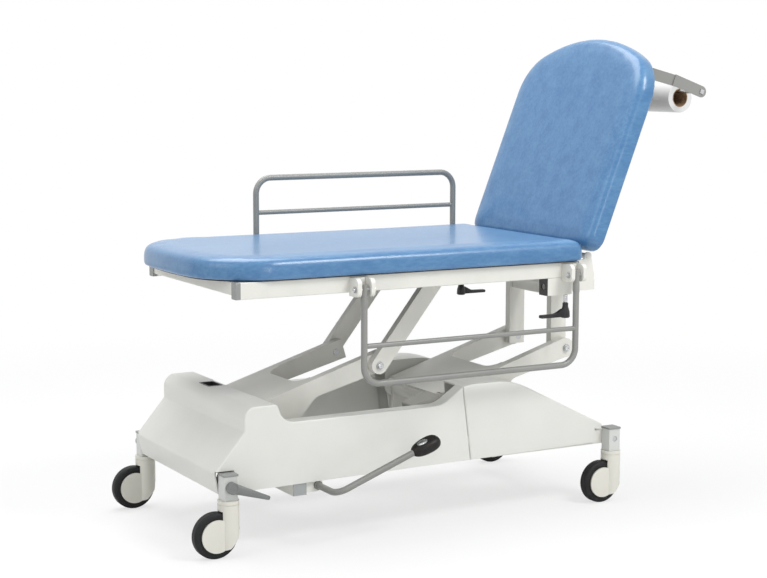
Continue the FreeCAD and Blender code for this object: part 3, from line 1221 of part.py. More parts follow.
def make_back_frame(rear):
    """Two rails with cross tubes, and the hinge bar with the crank for the gas spring."""
    body = back_node("backrest_frame")
    inner, outer = sizes.back_rail_y, sizes.back_rail_y + sizes.back_rail_width
    bottom = rear - sizes.back_rail_depth
    lug = sizes.hinge_lug_radius
    pad(body, "YZ", -lug, sizes.back_rail_end,
        rectangle(inner, outer, bottom, rear, sizes.small_corner), rectangle(-outer, -inner, bottom, rear, sizes.small_corner))
    pad_both(body, inner, outer, Circle(0, 0, lug))
    pad_both(body, inner, outer, rectangle(-lug, lug, rear - 3, 0))
    for start in (sizes.back_cross_one, sizes.back_cross_two):
        pad(body, "XZ", -inner, inner, rectangle(
            start, start + sizes.back_cross_width, bottom, rear, sizes.small_corner))
    reach = frame_inner() + 2
    pad(body, "XZ", -reach, reach, Circle(0, 0, sizes.hinge_bar_diameter / 2))
    cheek_in, cheek_out = sizes.spring_cheek_gap, sizes.spring_cheek_gap + sizes.spring_cheek
    angle = sizes.back_angle - sizes.spring_crank_angle
    turn, rise = cosine(angle), sine(angle)
    pin_u, pin_w = -sizes.spring_crank_length * rise, -sizes.spring_crank_length * turn
    wide = sizes.spring_pin_diameter / 2 + 5
    pad_both(body, cheek_in, cheek_out, Path([
        (-turn * wide, rise * wide), (pin_u - turn * wide, pin_w + rise * wide),
        (pin_u + turn * wide, pin_w - rise * wide), (turn * wide, -rise * wide)]))
    pad_both(body, cheek_in, cheek_out, Circle(0, 0, wide))
    pad_both(body, cheek_in, cheek_out, Circle(pin_u, pin_w, wide))
    pad(body, "XZ", -cheek_in, cheek_in, Circle(pin_u, pin_w, sizes.spring_pin_diameter / 2))


def make_gas_spring():
    mount_x = mid_cross_x() + sizes.mid_cross_width / 2
    start_x = mount_x + sizes.spring_mount_length
    barrel = node("gas_spring_barrel", start_x, 0, sizes.spring_axis_z)
    length = sizes.spring_end_x - start_x
    pad(barrel, "YZ", 0, length, Circle(0, 0, sizes.spring_outer_diameter / 2))
    back = -sizes.spring_mount_length
    pad(barrel, "XZ", -5, 5, Path([
        (back, -sizes.spring_mount_half), (1, -sizes.spring_mount_half),
        (1, sizes.spring_mount_half), (back, sizes.spring_mount_half)]))
    pocket(barrel, "YZ", 10, length - sizes.spring_gland,
           Circle(0, 0, sizes.spring_inner_diameter / 2))
    pocket(barrel, "YZ", length - sizes.spring_gland - 1, length + 1,
           Circle(0, 0, sizes.spring_rod_diameter / 2 + sizes.running_gap))
    pin_x = sizes.hinge_x + sizes.spring_crank_length * sine(sizes.spring_crank_angle)
    rod = node("gas_spring_rod", pin_x, 0, sizes.spring_axis_z)
    slot = sizes.spring_pin_diameter / 2 + sizes.spring_pin_play
    wall, width = sizes.spring_wall, sizes.spring_cheek_gap - 1
    rise = sizes.spring_pin_rise
    pad(rod, "XZ", -width, width, rectangle(
        -slot - wall, slot + wall, -rise - wall, rise + wall, 4))
    pocket(rod, "XZ", -width - 1, width + 1, rectangle(-slot, slot, -rise, rise, 5))
    inside = start_x - pin_x + 150
    pad(rod, "YZ", inside, -slot - wall + 1, Circle(0, 0, sizes.spring_rod_diameter / 2))
    pad(rod, "YZ", inside, inside + 12,
        Circle(0, 0, sizes.spring_inner_diameter / 2 - sizes.piston_gap))


# Paper roll

def make_roll():
    rear = sizes.back_depth - sizes.pad_thickness
    holder = back_node("roll_holder")
    plate, half = sizes.holder_plate, sizes.holder_width / 2
    inner = sizes.holder_y - plate / 2
    outer = inner + plate
    pad(holder, "XY", rear - plate, rear, rectangle(
        sizes.holder_root - half, sizes.holder_root + half, -outer, outer, 3))
    bend = (sizes.holder_bend_u, -sizes.holder_bend_w)
    tip = (sizes.holder_tip_u, -sizes.holder_tip_w)
    pad_both(holder, inner, outer, Path([
        (sizes.holder_root - half, rear - 1), (sizes.holder_root + half, rear - 1),
        (bend[0] + half + 1, bend[1] - sizes.holder_lap),
        (bend[0] - half + 1, bend[1] - sizes.holder_lap)]))
    pad_both(holder, outer, outer + plate, Path([
        (bend[0] - half, bend[1]), (bend[0] + half, bend[1]),
        (tip[0] + half, tip[1]), (tip[0] - half, tip[1])]))
    pad_both(holder, outer, outer + plate, Circle(*tip, half))
    pocket_both(holder, outer - 1, outer + plate + 1, square_about(*tip, sizes.holder_hole))
    spindle = back_node("roll_spindle")
    reach = outer - 1
    pad(spindle, "XZ", -reach, reach, Circle(*tip, sizes.spindle_diameter / 2))
    square = sizes.holder_hole - 2 * sizes.spindle_play
    pad_both(spindle, reach, reach + plate + 4, square_about(*tip, square))
    drop = sizes.roll_core_inner / 2 - sizes.spindle_diameter / 2 - sizes.roll_gap
    roll_u = tip[0] - drop * sine(sizes.back_angle)
    roll_w = tip[1] - drop * cosine(sizes.back_angle)
    long = sizes.roll_half_length
    core = back_node("roll_core")
    pad(core, "XZ", -long, long, Circle(roll_u, roll_w, sizes.roll_core_outer / 2),
        Circle(roll_u, roll_w, sizes.roll_core_inner / 2))
    paper = back_node("paper_roll")
    pad(paper, "XZ", -long, long, Circle(roll_u, roll_w, sizes.roll_diameter / 2),
        Circle(roll_u, roll_w, sizes.roll_core_outer / 2))


def write_parts():
    """Checks every object and writes each sub-part under its label."""
    doc.recompute()
    for thing in doc.Objects:
        if "Invalid" in thing.State or "Error" in thing.State:
            raise RuntimeError(f"{thing.Name} failed: {thing.State}")
    os.makedirs("parts", exist_ok=True)
    for body in doc.findObjects("PartDesign::Body"):
        shape = body.Shape
        if shape.isNull() or not shape.isValid() or shape.Volume <= 0:
            raise RuntimeError(f"{body.Label} is not a valid solid")
        shape.exportStep(f"parts/{body.Label}.step")


make_castors()
make_sockets()
make_brake()
make_chassis()
make_uprights()
make_foot_casing()
make_head_casing()
make_lift()
make_hydraulics()
make_pump_pedal()
make_frame()
make_legs()
cot_side("cot_side_near", -sizes.cot_y, -1)
cot_side("cot_side_far", sizes.cot_y, 1)
make_receivers()
clamp_lever("clamp_lever_near", -sizes.clamp_y, -1)
clamp_lever("clamp_lever_far", sizes.clamp_y, 1)
make_seat()
make_backrest()
make_gas_spring()
make_roll()
write_parts()
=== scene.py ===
import logging
import math
from contextlib import contextmanager
from dataclasses import dataclass
from enum import Enum
from functools import cached_property
from typing import Any, Callable, Iterator, Optional, Sequence

import bmesh
import bpy
from mathutils import Matrix, Vector

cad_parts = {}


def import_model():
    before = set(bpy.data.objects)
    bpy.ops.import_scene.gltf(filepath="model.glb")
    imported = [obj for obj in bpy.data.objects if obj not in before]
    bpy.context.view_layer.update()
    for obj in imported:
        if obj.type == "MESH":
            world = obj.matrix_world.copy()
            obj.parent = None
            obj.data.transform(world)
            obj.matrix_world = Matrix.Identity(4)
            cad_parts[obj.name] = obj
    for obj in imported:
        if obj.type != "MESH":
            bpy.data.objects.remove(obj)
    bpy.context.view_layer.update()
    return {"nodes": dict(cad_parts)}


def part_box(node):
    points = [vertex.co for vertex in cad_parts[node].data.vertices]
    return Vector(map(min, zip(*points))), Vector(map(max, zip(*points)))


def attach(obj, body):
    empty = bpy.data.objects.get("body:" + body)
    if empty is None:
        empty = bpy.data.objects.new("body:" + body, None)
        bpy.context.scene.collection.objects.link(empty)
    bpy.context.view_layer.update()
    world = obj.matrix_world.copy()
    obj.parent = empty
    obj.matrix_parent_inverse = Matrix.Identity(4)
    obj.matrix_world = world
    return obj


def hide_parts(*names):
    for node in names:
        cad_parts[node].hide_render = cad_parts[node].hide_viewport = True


LOG = logging.getLogger("treatment_couch")
Colour = tuple[float, float, float]
Place = tuple[float, float, float]
Span = tuple[float, float]
Head = tuple[Place, str, float]
Piece = bpy.types.Object
Material = bpy.types.Material


# Shader maths


class Channel:
    """A socket that can be used in ordinary expressions."""

    def __init__(self, recipe: "Recipe", socket: bpy.types.NodeSocket) -> None:
        """Keeps an output socket and the node tree that it belongs to."""
        self.recipe = recipe
        self.socket = socket

    def _maths(self, operation: str, first: Any, second: Any) -> "Channel":
        """Adds one Math node on two numbers or channels."""
        made = self.recipe.node("ShaderNodeMath", {"operation": operation}, {0: first, 1: second})
        return Channel(self.recipe, made.outputs[0])

    def __add__(self, other: Any) -> "Channel":
        """Adds a number or a channel."""
        return self._maths("ADD", self, other)

    def __radd__(self, other: Any) -> "Channel":
        """Adds from the left."""
        return self._maths("ADD", other, self)

    def __sub__(self, other: Any) -> "Channel":
        """Subtracts a number or a channel."""
        return self._maths("SUBTRACT", self, other)

    def __rsub__(self, other: Any) -> "Channel":
        """Subtracts from the left."""
        return self._maths("SUBTRACT", other, self)

    def __mul__(self, other: Any) -> "Channel":
        """Multiplies by a number or a channel."""
        return self._maths("MULTIPLY", self, other)

    def __rmul__(self, other: Any) -> "Channel":
        """Multiplies from the left."""
        return self._maths("MULTIPLY", other, self)


class Pattern(Enum):
    """The procedural patterns that the finishes use."""

    CLOUD = "ShaderNodeTexNoise"
    CELL = "ShaderNodeTexVoronoi"
    BAND = "ShaderNodeTexWave"


class Recipe:
    """The node tree of one material or world under construction."""

    def __init__(self, owner: Any) -> None:
        """Starts an empty node tree.

        Args:
            owner: The material or world that the nodes belong to.
        """
        self.owner = owner
        owner.use_nodes = True
        self.tree = owner.node_tree
        self.tree.nodes.clear()

    @cached_property
    def place(self) -> Channel:
        """The object coordinates."""
        return Channel(self, self.node("ShaderNodeTexCoord", {}, {}).outputs["Object"])

    def node(self, kind: str, settings: dict[str, Any], inputs: dict[Any, Any]) -> bpy.types.Node:
        """Adds a node.

        Args:
            kind: The node's type.
            settings: Its properties, set first.
            inputs: Values, channels or sockets by input name or number.

        Returns:
            The node.
        """
        made = self.tree.nodes.new(kind)
        for key, value in settings.items():
            setattr(made, key, value)
        for key, value in inputs.items():
            if isinstance(value, Channel):
                self.tree.links.new(value.socket, made.inputs[key])
            elif isinstance(value, bpy.types.NodeSocket):
                self.tree.links.new(value, made.inputs[key])
            else:
                made.inputs[key].default_value = value
        return made

    def most(self, first: Any, second: Any) -> Channel:
        """Gives the greater of two values."""
        made = self.node("ShaderNodeMath", {"operation": "MAXIMUM"}, {0: first, 1: second})
        return Channel(self, made.outputs[0])

    def stretched(self, scale: Sequence[float], turn: Sequence[float] = (0, 0, 0)) -> Channel:
        """Gives object coordinates that are turned and stretched.

        Args:
            scale: The stretch along X, Y and Z.
            turn: The turn in degrees about X, Y and Z.

        Returns:
            The coordinates.
        """
        angles = tuple(math.radians(angle) for angle in turn)
        made = self.node("ShaderNodeMapping", {}, {"Vector": self.place, "Scale": tuple(scale),
                                                   "Rotation": angles})
        return Channel(self, made.outputs[0])

    def pattern(self, kind: Pattern, scale: float, where: Optional[Channel] = None,
                settings: Optional[dict[str, Any]] = None, **inputs: Any) -> Channel:
        """Adds a texture and gives its grey value.

        Args:
            kind: The pattern.
            scale: Its scale per metre.
            where: The coordinates, or None for plain object coordinates.
            settings: The texture node's own properties.
            inputs: More inputs of the texture node, with _ for a space.

        Returns:
            The grey value.
        """
        values = {key.replace("_", " "): value for key, value in inputs.items()}
        values.update({"Vector": where or self.place, "Scale": scale})
        made = self.node(kind.value, settings or {}, values)
        return Channel(self, made.outputs["Distance" if kind is Pattern.CELL else "Fac"])

    def ramp(self, value: Channel, low: float, high: float) -> Channel:
        """Spreads a grey value so that low becomes 0 and high becomes 1.

        Args:
            value: The grey value.
            low: The value that becomes 0.
            high: The value that becomes 1.

        Returns:
            The spread value, kept between 0 and 1.
        """
        made = self.node("ShaderNodeMapRange", {"interpolation_type": "SMOOTHSTEP"},
                         {"Value": value, "From Min": low, "From Max": high})
        return Channel(self, made.outputs["Result"])

    def blend(self, factor: Any, first: Any, second: Any) -> Channel:
        """Mixes two colours.

        Args:
            factor: How much of the second colour.
            first: A colour or a channel.
            second: A colour or a channel.

        Returns:
            The mixed colour.
        """
        def full(colour: Any) -> Any:
            """Adds the alpha that a colour socket needs."""
            return colour if isinstance(colour, Channel) else (*colour, 1.0)

        made = self.node("ShaderNodeMix", {"data_type": "RGBA", "blend_type": "MIX"},
                         {0: factor, 6: full(first), 7: full(second)})
        return Channel(self, made.outputs[2])

    def bump(self, height: Channel, strength: float, depth: float,
             under: Optional[Channel] = None) -> Channel:
        """Turns a height into a normal.

        Args:
            height: The height as a grey value.
            strength: The bump's strength.
            depth: The height of white over black in metres.
            under: A normal that this bump is added to.

        Returns:
            The normal.
        """
        inputs: dict[Any, Any] = {"Height": height, "Strength": strength, "Distance": depth}
        if under is not None:
            inputs["Normal"] = under
        return Channel(self, self.node("ShaderNodeBump", {}, inputs).outputs[0])

    def finish(self, **sockets: Any) -> Material:
        """Closes the material with one surface shader.

        Args:
            sockets: The shader's sockets, with _ for a space.

        Returns:
            The material.
        """
        values = {key.replace("_", " "): value for key, value in sockets.items()}
        shader = self.node("ShaderNodeBsdfPrincipled", {}, values)
        self.node("ShaderNodeOutputMaterial", {}, {"Surface": shader.outputs[0]})
        return self.owner


def vary(centre: float, value: Channel, span: float) -> Channel:
    """Spreads a grey value evenly about a number.

    Args:
        centre: What a grey of one half becomes.
        value: The grey value.
        span: How far black and white lie apart.

    Returns:
        The spread value.
    """
    return centre + (value - 0.5) * span


def shaded(colour: Colour, factor: float) -> Colour:
    """Makes a colour darker or paler, up to white."""
    red, green, blue = (min(1.0, part * factor) for part in colour)
    return red, green, blue


# Finishes: every scale is per metre and every depth is in metres


@dataclass(frozen=True)
class Vinyl:
    """Soft upholstery cloth with cloudy paler streaks and a fine pebble grain; the streaks are
    partly mottled tone and partly painted highlight.
    """

    name: str = "upholstery_vinyl"
    # deep is the cloth's colour; pale is the colour of its streaks, which is partly painted
    # highlight
    deep: Colour = (0.045, 0.158, 0.345)
    pale: Colour = (0.088, 0.230, 0.420)
    roughness: float = 0.34
    roughness_span: float = 0.10
    turn: float = 0.0
    stretch: Place = (0.35, 1.0, 1.0)
    cloud_scale: float = 22
    fibre_scale: float = 120
    # the grey range over which the cloth turns from deep to pale: mottled tone and painted
    # highlight streaks
    mottle_and_highlight_range: Span = (0.36, 0.66)
    grain_scale: float = 900
    grain_depth: float = 0.0003
    crease_scale: float = 26
    crease_depth: float = 0.0010

    def make(self) -> Material:
        """Builds the material."""
        recipe = Recipe(bpy.data.materials.new(self.name))
        long = recipe.stretched(self.stretch, (0, self.turn, 0))
        clouds = recipe.pattern(Pattern.CLOUD, self.cloud_scale, long, Detail=6.0, Roughness=0.66)
        fibres = recipe.pattern(Pattern.CLOUD, self.fibre_scale, long, Detail=5.0, Roughness=0.72)
        # paler cloudy streaks: partly mottled tone, partly painted highlight
        shade = recipe.ramp(clouds * 0.5 + fibres * 0.5, *self.mottle_and_highlight_range)
        grain = recipe.pattern(Pattern.CELL, self.grain_scale, None, {"feature": "F1"},
                               Randomness=0.9)
        creases = recipe.pattern(Pattern.CLOUD, self.crease_scale, Detail=3.0, Distortion=0.6)
        soft = recipe.bump(creases, 0.10, self.crease_depth)
        return recipe.finish(Base_Color=recipe.blend(shade, self.deep, self.pale),
                             Roughness=vary(self.roughness, clouds, self.roughness_span),
                             Normal=recipe.bump(grain, 0.14, self.grain_depth, soft),
                             Coat_Weight=0.35, Coat_Roughness=0.16, Sheen_Weight=0.04,
                             Specular_IOR_Level=0.5)


@dataclass(frozen=True)
class Coating:
    """Powder coat or moulded plastic: an even colour with a fine texture."""

    name: str
    colour: Colour
    roughness: float = 0.42
    roughness_span: float = 0.14
    peel_scale: float = 420
    peel_depth: float = 0.00012
    drift: float = 0.05
    drift_up: float = 0.6
    drift_scale: float = 5.0
    smear_scale: float = 14.0
    coat: float = 0.15

    def make(self) -> Material:
        """Builds the material."""
        recipe = Recipe(bpy.data.materials.new(self.name))
        low = shaded(self.colour, 1 - self.drift)
        high = shaded(self.colour, 1 + self.drift * self.drift_up)
        clouds = recipe.pattern(Pattern.CLOUD, self.drift_scale, Detail=4.0, Roughness=0.55)
        peel = recipe.pattern(Pattern.CLOUD, self.peel_scale, Detail=2.0, Roughness=0.5)
        smears = recipe.pattern(Pattern.CLOUD, self.smear_scale, recipe.stretched((0.4, 1, 1)),
                                Detail=3.0)
        return recipe.finish(Base_Color=recipe.blend(recipe.ramp(clouds, 0.32, 0.68), low, high),
                             Roughness=vary(self.roughness, smears, self.roughness_span),
                             Normal=recipe.bump(peel, 0.35, self.peel_depth),
                             Coat_Weight=self.coat, Coat_Roughness=0.3)


@dataclass(frozen=True)
class Rubber:
    """Dark rubber with a fine grain and a little dust."""

    name: str
    colour: Colour
    dust: Colour
    roughness: float = 0.55
    roughness_span: float = 0.2
    dust_scale: float = 45
    dust_share: float = 0.6
    grain_scale: float = 1300
    grain_depth: float = 0.0002

    def make(self) -> Material:
        """Builds the material."""
        recipe = Recipe(bpy.data.materials.new(self.name))
        dust = recipe.pattern(Pattern.CLOUD, self.dust_scale, Detail=6.0, Roughness=0.7)
        shade = recipe.ramp(dust, 0.48, 0.85) * self.dust_share
        grain = recipe.pattern(Pattern.CLOUD, self.grain_scale, Detail=3.0, Roughness=0.6)
        return recipe.finish(Base_Color=recipe.blend(shade, self.colour, self.dust),
                             Roughness=vary(self.roughness, dust, self.roughness_span),
                             Normal=recipe.bump(grain, 0.35, self.grain_depth),
                             Specular_IOR_Level=0.22)


@dataclass(frozen=True)
class Plating:
    """Plated or turned steel with fine tool marks."""

    name: str
    colour: Colour = (0.66, 0.67, 0.68)
    roughness: float = 0.24
    roughness_span: float = 0.18
    marks: Place = (1.0, 60.0, 60.0)
    mark_scale: float = 30
    mark_depth: float = 0.0001
    spot_scale: float = 80
    spot_shade: float = 0.72

    def make(self) -> Material:
        """Builds the material."""
        recipe = Recipe(bpy.data.materials.new(self.name))
        lines = recipe.pattern(Pattern.CLOUD, self.mark_scale, recipe.stretched(self.marks),
                               Detail=4.0)
        spots = recipe.pattern(Pattern.CLOUD, self.spot_scale, Detail=5.0, Roughness=0.7)
        colour = recipe.blend(recipe.ramp(spots, 0.45, 0.8), self.colour,
                              shaded(self.colour, self.spot_shade))
        return recipe.finish(Base_Color=colour, Metallic=1.0,
                             Roughness=vary(self.roughness, lines, self.roughness_span),
                             Normal=recipe.bump(lines, 0.12, self.mark_depth))


@dataclass(frozen=True)
class Lining:
    """Dark woven cloth under the boards."""

    name: str = "board_lining"
    thread: Colour = (0.050, 0.048, 0.046)
    gap: Colour = (0.012, 0.012, 0.012)
    weave_scale: float = 260
    weave_depth: float = 0.0003
    dust_scale: float = 12

    def make(self) -> Material:
        """Builds the material."""
        recipe = Recipe(bpy.data.materials.new(self.name))
        along, across = (
            recipe.pattern(Pattern.BAND, self.weave_scale, None, {"bands_direction": way},
                           Distortion=0.6) for way in "XY")
        weave = along * across
        dust = recipe.pattern(Pattern.CLOUD, self.dust_scale, Detail=5.0)
        shade = recipe.ramp(weave * 0.8 + dust * 0.4, 0.1, 0.8)
        return recipe.finish(Base_Color=recipe.blend(shade, self.gap, self.thread),
                             Roughness=0.9, Normal=recipe.bump(weave, 0.5, self.weave_depth))


@dataclass(frozen=True)
class Tissue:
    """Soft paper with a crepe across the roll and painted shade in the crepe's folds."""

    name: str = "roll_tissue"
    colour: Colour = (0.70, 0.705, 0.70)
    # painted shade: how dark the crepe's folds are painted
    painted_crease_shade: float = 0.92
    crepe_scale: float = 60
    crepe_depth: float = 0.0005
    dot_scale: float = 420
    dot_depth: float = 0.0002

    def make(self) -> Material:
        """Builds the material."""
        recipe = Recipe(bpy.data.materials.new(self.name))
        crepe = recipe.pattern(Pattern.CLOUD, self.crepe_scale, recipe.stretched((8.0, 1.0, 8.0)),
                               Detail=5.0)
        dots = recipe.pattern(Pattern.CELL, self.dot_scale, None, {"feature": "F1"})
        # painted shade: the crepe's folds are painted darker, following the crepe that also drives
        # the bump
        low = shaded(self.colour, self.painted_crease_shade)
        soft = recipe.bump(crepe, 0.3, self.crepe_depth)
        return recipe.finish(Base_Color=recipe.blend(crepe, low, self.colour), Roughness=0.85,
                             Normal=recipe.bump(dots, 0.2, self.dot_depth, soft),
                             Sheen_Weight=0.1)


@dataclass(frozen=True)
class Card:
    """Pressed card with loose fibres."""

    name: str = "core_card"
    colour: Colour = (0.26, 0.17, 0.10)
    fibre_shade: float = 1.7
    fibre_scale: float = 240
    fibre_depth: float = 0.0003

    def make(self) -> Material:
        """Builds the material."""
        recipe = Recipe(bpy.data.materials.new(self.name))
        fibres = recipe.pattern(Pattern.CLOUD, self.fibre_scale, recipe.stretched((1.0, 0.3, 1.0)),
                                Detail=6.0)
        colour = recipe.blend(recipe.ramp(fibres, 0.4, 0.75), self.colour,
                              shaded(self.colour, self.fibre_shade))
        return recipe.finish(Base_Color=colour, Roughness=0.82,
                             Normal=recipe.bump(fibres, 0.4, self.fibre_depth))


class Finishes:
    """Every material of the couch, built once."""

    def __init__(self, back_angle: float) -> None:
        """Builds the materials.

        Args:
            back_angle: The backrest's angle in degrees, which its grain follows.
        """
        self.seat_vinyl = Vinyl().make()
        self.back_vinyl = Vinyl(name="backrest_vinyl", turn=back_angle).make()
        self.casing = Coating("casing_plastic", (0.700, 0.706, 0.668), 0.40, peel_scale=300,
                              peel_depth=0.00010, drift=0.025).make()
        self.cream_paint = Coating("frame_powder_coat", (0.735, 0.732, 0.682), 0.38).make()
        self.socket = Coating("socket_powder_coat", (0.60, 0.615, 0.59), 0.40).make()
        self.castor = Coating("castor_plastic", (0.70, 0.69, 0.62), 0.40, peel_scale=500,
                              peel_depth=0.00008, drift=0.03).make()
        self.grey_paint = Coating("side_powder_coat", (0.250, 0.254, 0.240), 0.36).make()
        self.lever_paint = Coating("lever_powder_coat", (0.215, 0.218, 0.205), 0.38).make()
        self.cap = Coating("grey_moulding", (0.265, 0.275, 0.268), 0.45, peel_scale=500).make()
        self.brake_grey = Coating("brake_moulding", (0.175, 0.185, 0.180), peel_scale=500).make()
        self.black = Coating("black_moulding", (0.018, 0.018, 0.020), 0.40, peel_scale=700,
                             peel_depth=0.00015, drift=0.2, coat=0.1).make()
        self.tyre = Rubber("tyre_rubber", (0.015, 0.0155, 0.016), (0.055, 0.054, 0.052)).make()
        self.knob = Rubber("pedal_rubber", (0.014, 0.013, 0.012), (0.06, 0.055, 0.05),
                           0.42).make()
        self.plate = Plating("plated_steel").make()
        self.turned = Plating("turned_steel", (0.52, 0.53, 0.54), 0.32,
                              marks=(60.0, 1.0, 60.0)).make()
        self.inset = Plating("pedal_inset", (0.62, 0.66, 0.66), 0.30,
                             marks=(40.0, 40.0, 1.0)).make()
        self.pump = Coating("pump_enamel", (0.20, 0.205, 0.21), 0.4).make()
        self.valve = Coating("valve_enamel", (0.36, 0.355, 0.325), 0.45).make()
        self.plug = Coating("tube_plug", (0.33, 0.345, 0.345), 0.45, peel_scale=500).make()
        self.lining = Lining().make()
        self.tissue = Tissue().make()
        self.card = Card().make()


# Modelling


def clear_selection() -> None:
    """Leaves nothing selected."""
    if bpy.context.object and bpy.context.object.mode != "OBJECT":
        bpy.ops.object.mode_set(mode="OBJECT")
    bpy.ops.object.select_all(action="DESELECT")


def hold(piece: Piece) -> None:
    """Selects one object alone and makes it active."""
    clear_selection()
    piece.select_set(True)
    bpy.context.view_layer.objects.active = piece


@contextmanager
def editing(piece: Piece, kind: str = "FACE") -> Iterator[None]:
    """Opens a piece in edit mode with nothing selected.

    Args:
        piece: The object.
        kind: VERT, EDGE or FACE.
    """
    hold(piece)
    bpy.ops.object.mode_set(mode="EDIT")
    bpy.ops.mesh.select_mode(type=kind)
    bpy.ops.mesh.select_all(action="DESELECT")
    yield
    bpy.ops.object.mode_set(mode="OBJECT")


def pick(piece: Piece, kind: str, test: Callable[[Any], bool]) -> None:
    """Selects the elements that pass a test, in edit mode.

    Args:
        piece: The object in edit mode.
        kind: verts, edges or faces.
        test: Says whether an element is picked.
    """
    mesh = bmesh.from_edit_mesh(piece.data)
    bpy.ops.mesh.select_all(action="DESELECT")
    for part in getattr(mesh, kind):
        if test(part):
            part.select_set(True)
    mesh.select_flush_mode()
    bmesh.update_edit_mesh(piece.data)


def is_end(face: bmesh.types.BMFace) -> bool:
    """Says whether a face is a cylinder's end, which has many corners."""
    return len(face.verts) > 8


def settle(piece: Piece) -> None:
    """Moves a piece's place, turn and scale into its mesh."""
    piece.data.transform(piece.matrix_basis)
    piece.matrix_basis = Matrix.Identity(4)


def apply_all(piece: Piece) -> None:
    """Applies every modifier in order."""
    hold(piece)
    for name in [modifier.name for modifier in piece.modifiers]:
        bpy.ops.object.modifier_apply(modifier=name)


def soften(piece: Piece, width: float, segments: int = 2, limit: float = 50,
           smooth: float = 32) -> None:
    """Rounds a piece's hard edges and smooths its faces.

    Args:
        piece: The object.
        width: The rounding in metres.
        segments: The rounding's steps.
        limit: The least angle in degrees of an edge that is rounded.
        smooth: The greatest angle in degrees that is shaded smooth.
    """
    bevel = piece.modifiers.new("round", "BEVEL")
    bevel.width = width
    bevel.segments = segments
    bevel.limit_method = "ANGLE"
    bevel.angle_limit = math.radians(limit)
    apply_all(piece)
    hold(piece)
    bpy.ops.object.shade_smooth_by_angle(angle=math.radians(smooth))


def join(pieces: Sequence[Piece], name: str) -> Piece:
    """Joins pieces into one object.

    Args:
        pieces: The objects; the first one is kept.
        name: The new name.

    Returns:
        The joined object.
    """
    clear_selection()
    for piece in pieces:
        piece.select_set(True)
    bpy.context.view_layer.objects.active = pieces[0]
    if len(pieces) > 1:
        bpy.ops.object.join()
    pieces[0].name = name
    return pieces[0]


def copy_of(source: Piece, name: str) -> Piece:
    """Copies an object with a mesh of its own.

    Args:
        source: The object.
        name: The copy's name.

    Returns:
        The copy, with loose triangles merged.
    """
    piece = bpy.data.objects.new(name, source.data.copy())
    bpy.context.scene.collection.objects.link(piece)
    with editing(piece, "VERT"):
        bpy.ops.mesh.select_all(action="SELECT")
        bpy.ops.mesh.remove_doubles(threshold=0.00001)
        bpy.ops.mesh.customdata_custom_splitnormals_clear()
    return piece


def dress(piece: Piece, material: Material) -> None:
    """Gives a piece one material."""
    piece.data.materials.clear()
    piece.data.materials.append(material)


def report(piece: Piece) -> None:
    """Logs a finished piece."""
    LOG.info("%s: %d faces", piece.name, len(piece.data.polygons))


class Part:
    """A sub-assembly: it builds its pieces and puts them on the couch's bodies."""

    def place(self, piece: Piece, body: str, slot: str, *nodes: str) -> None:
        """Hands a finished piece over.

        Args:
            piece: The object.
            body: The moving body that it rides on.
            slot: The record's material slot; not used.
            nodes: The CAD nodes that it replaces.
        """
        settle(piece)
        if nodes:
            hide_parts(*nodes)
        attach(piece, body)
        report(piece)

    def build(self, finishes: Finishes) -> None:
        """Builds the pieces.

        Args:
            finishes: The couch's materials.
        """
        raise NotImplementedError


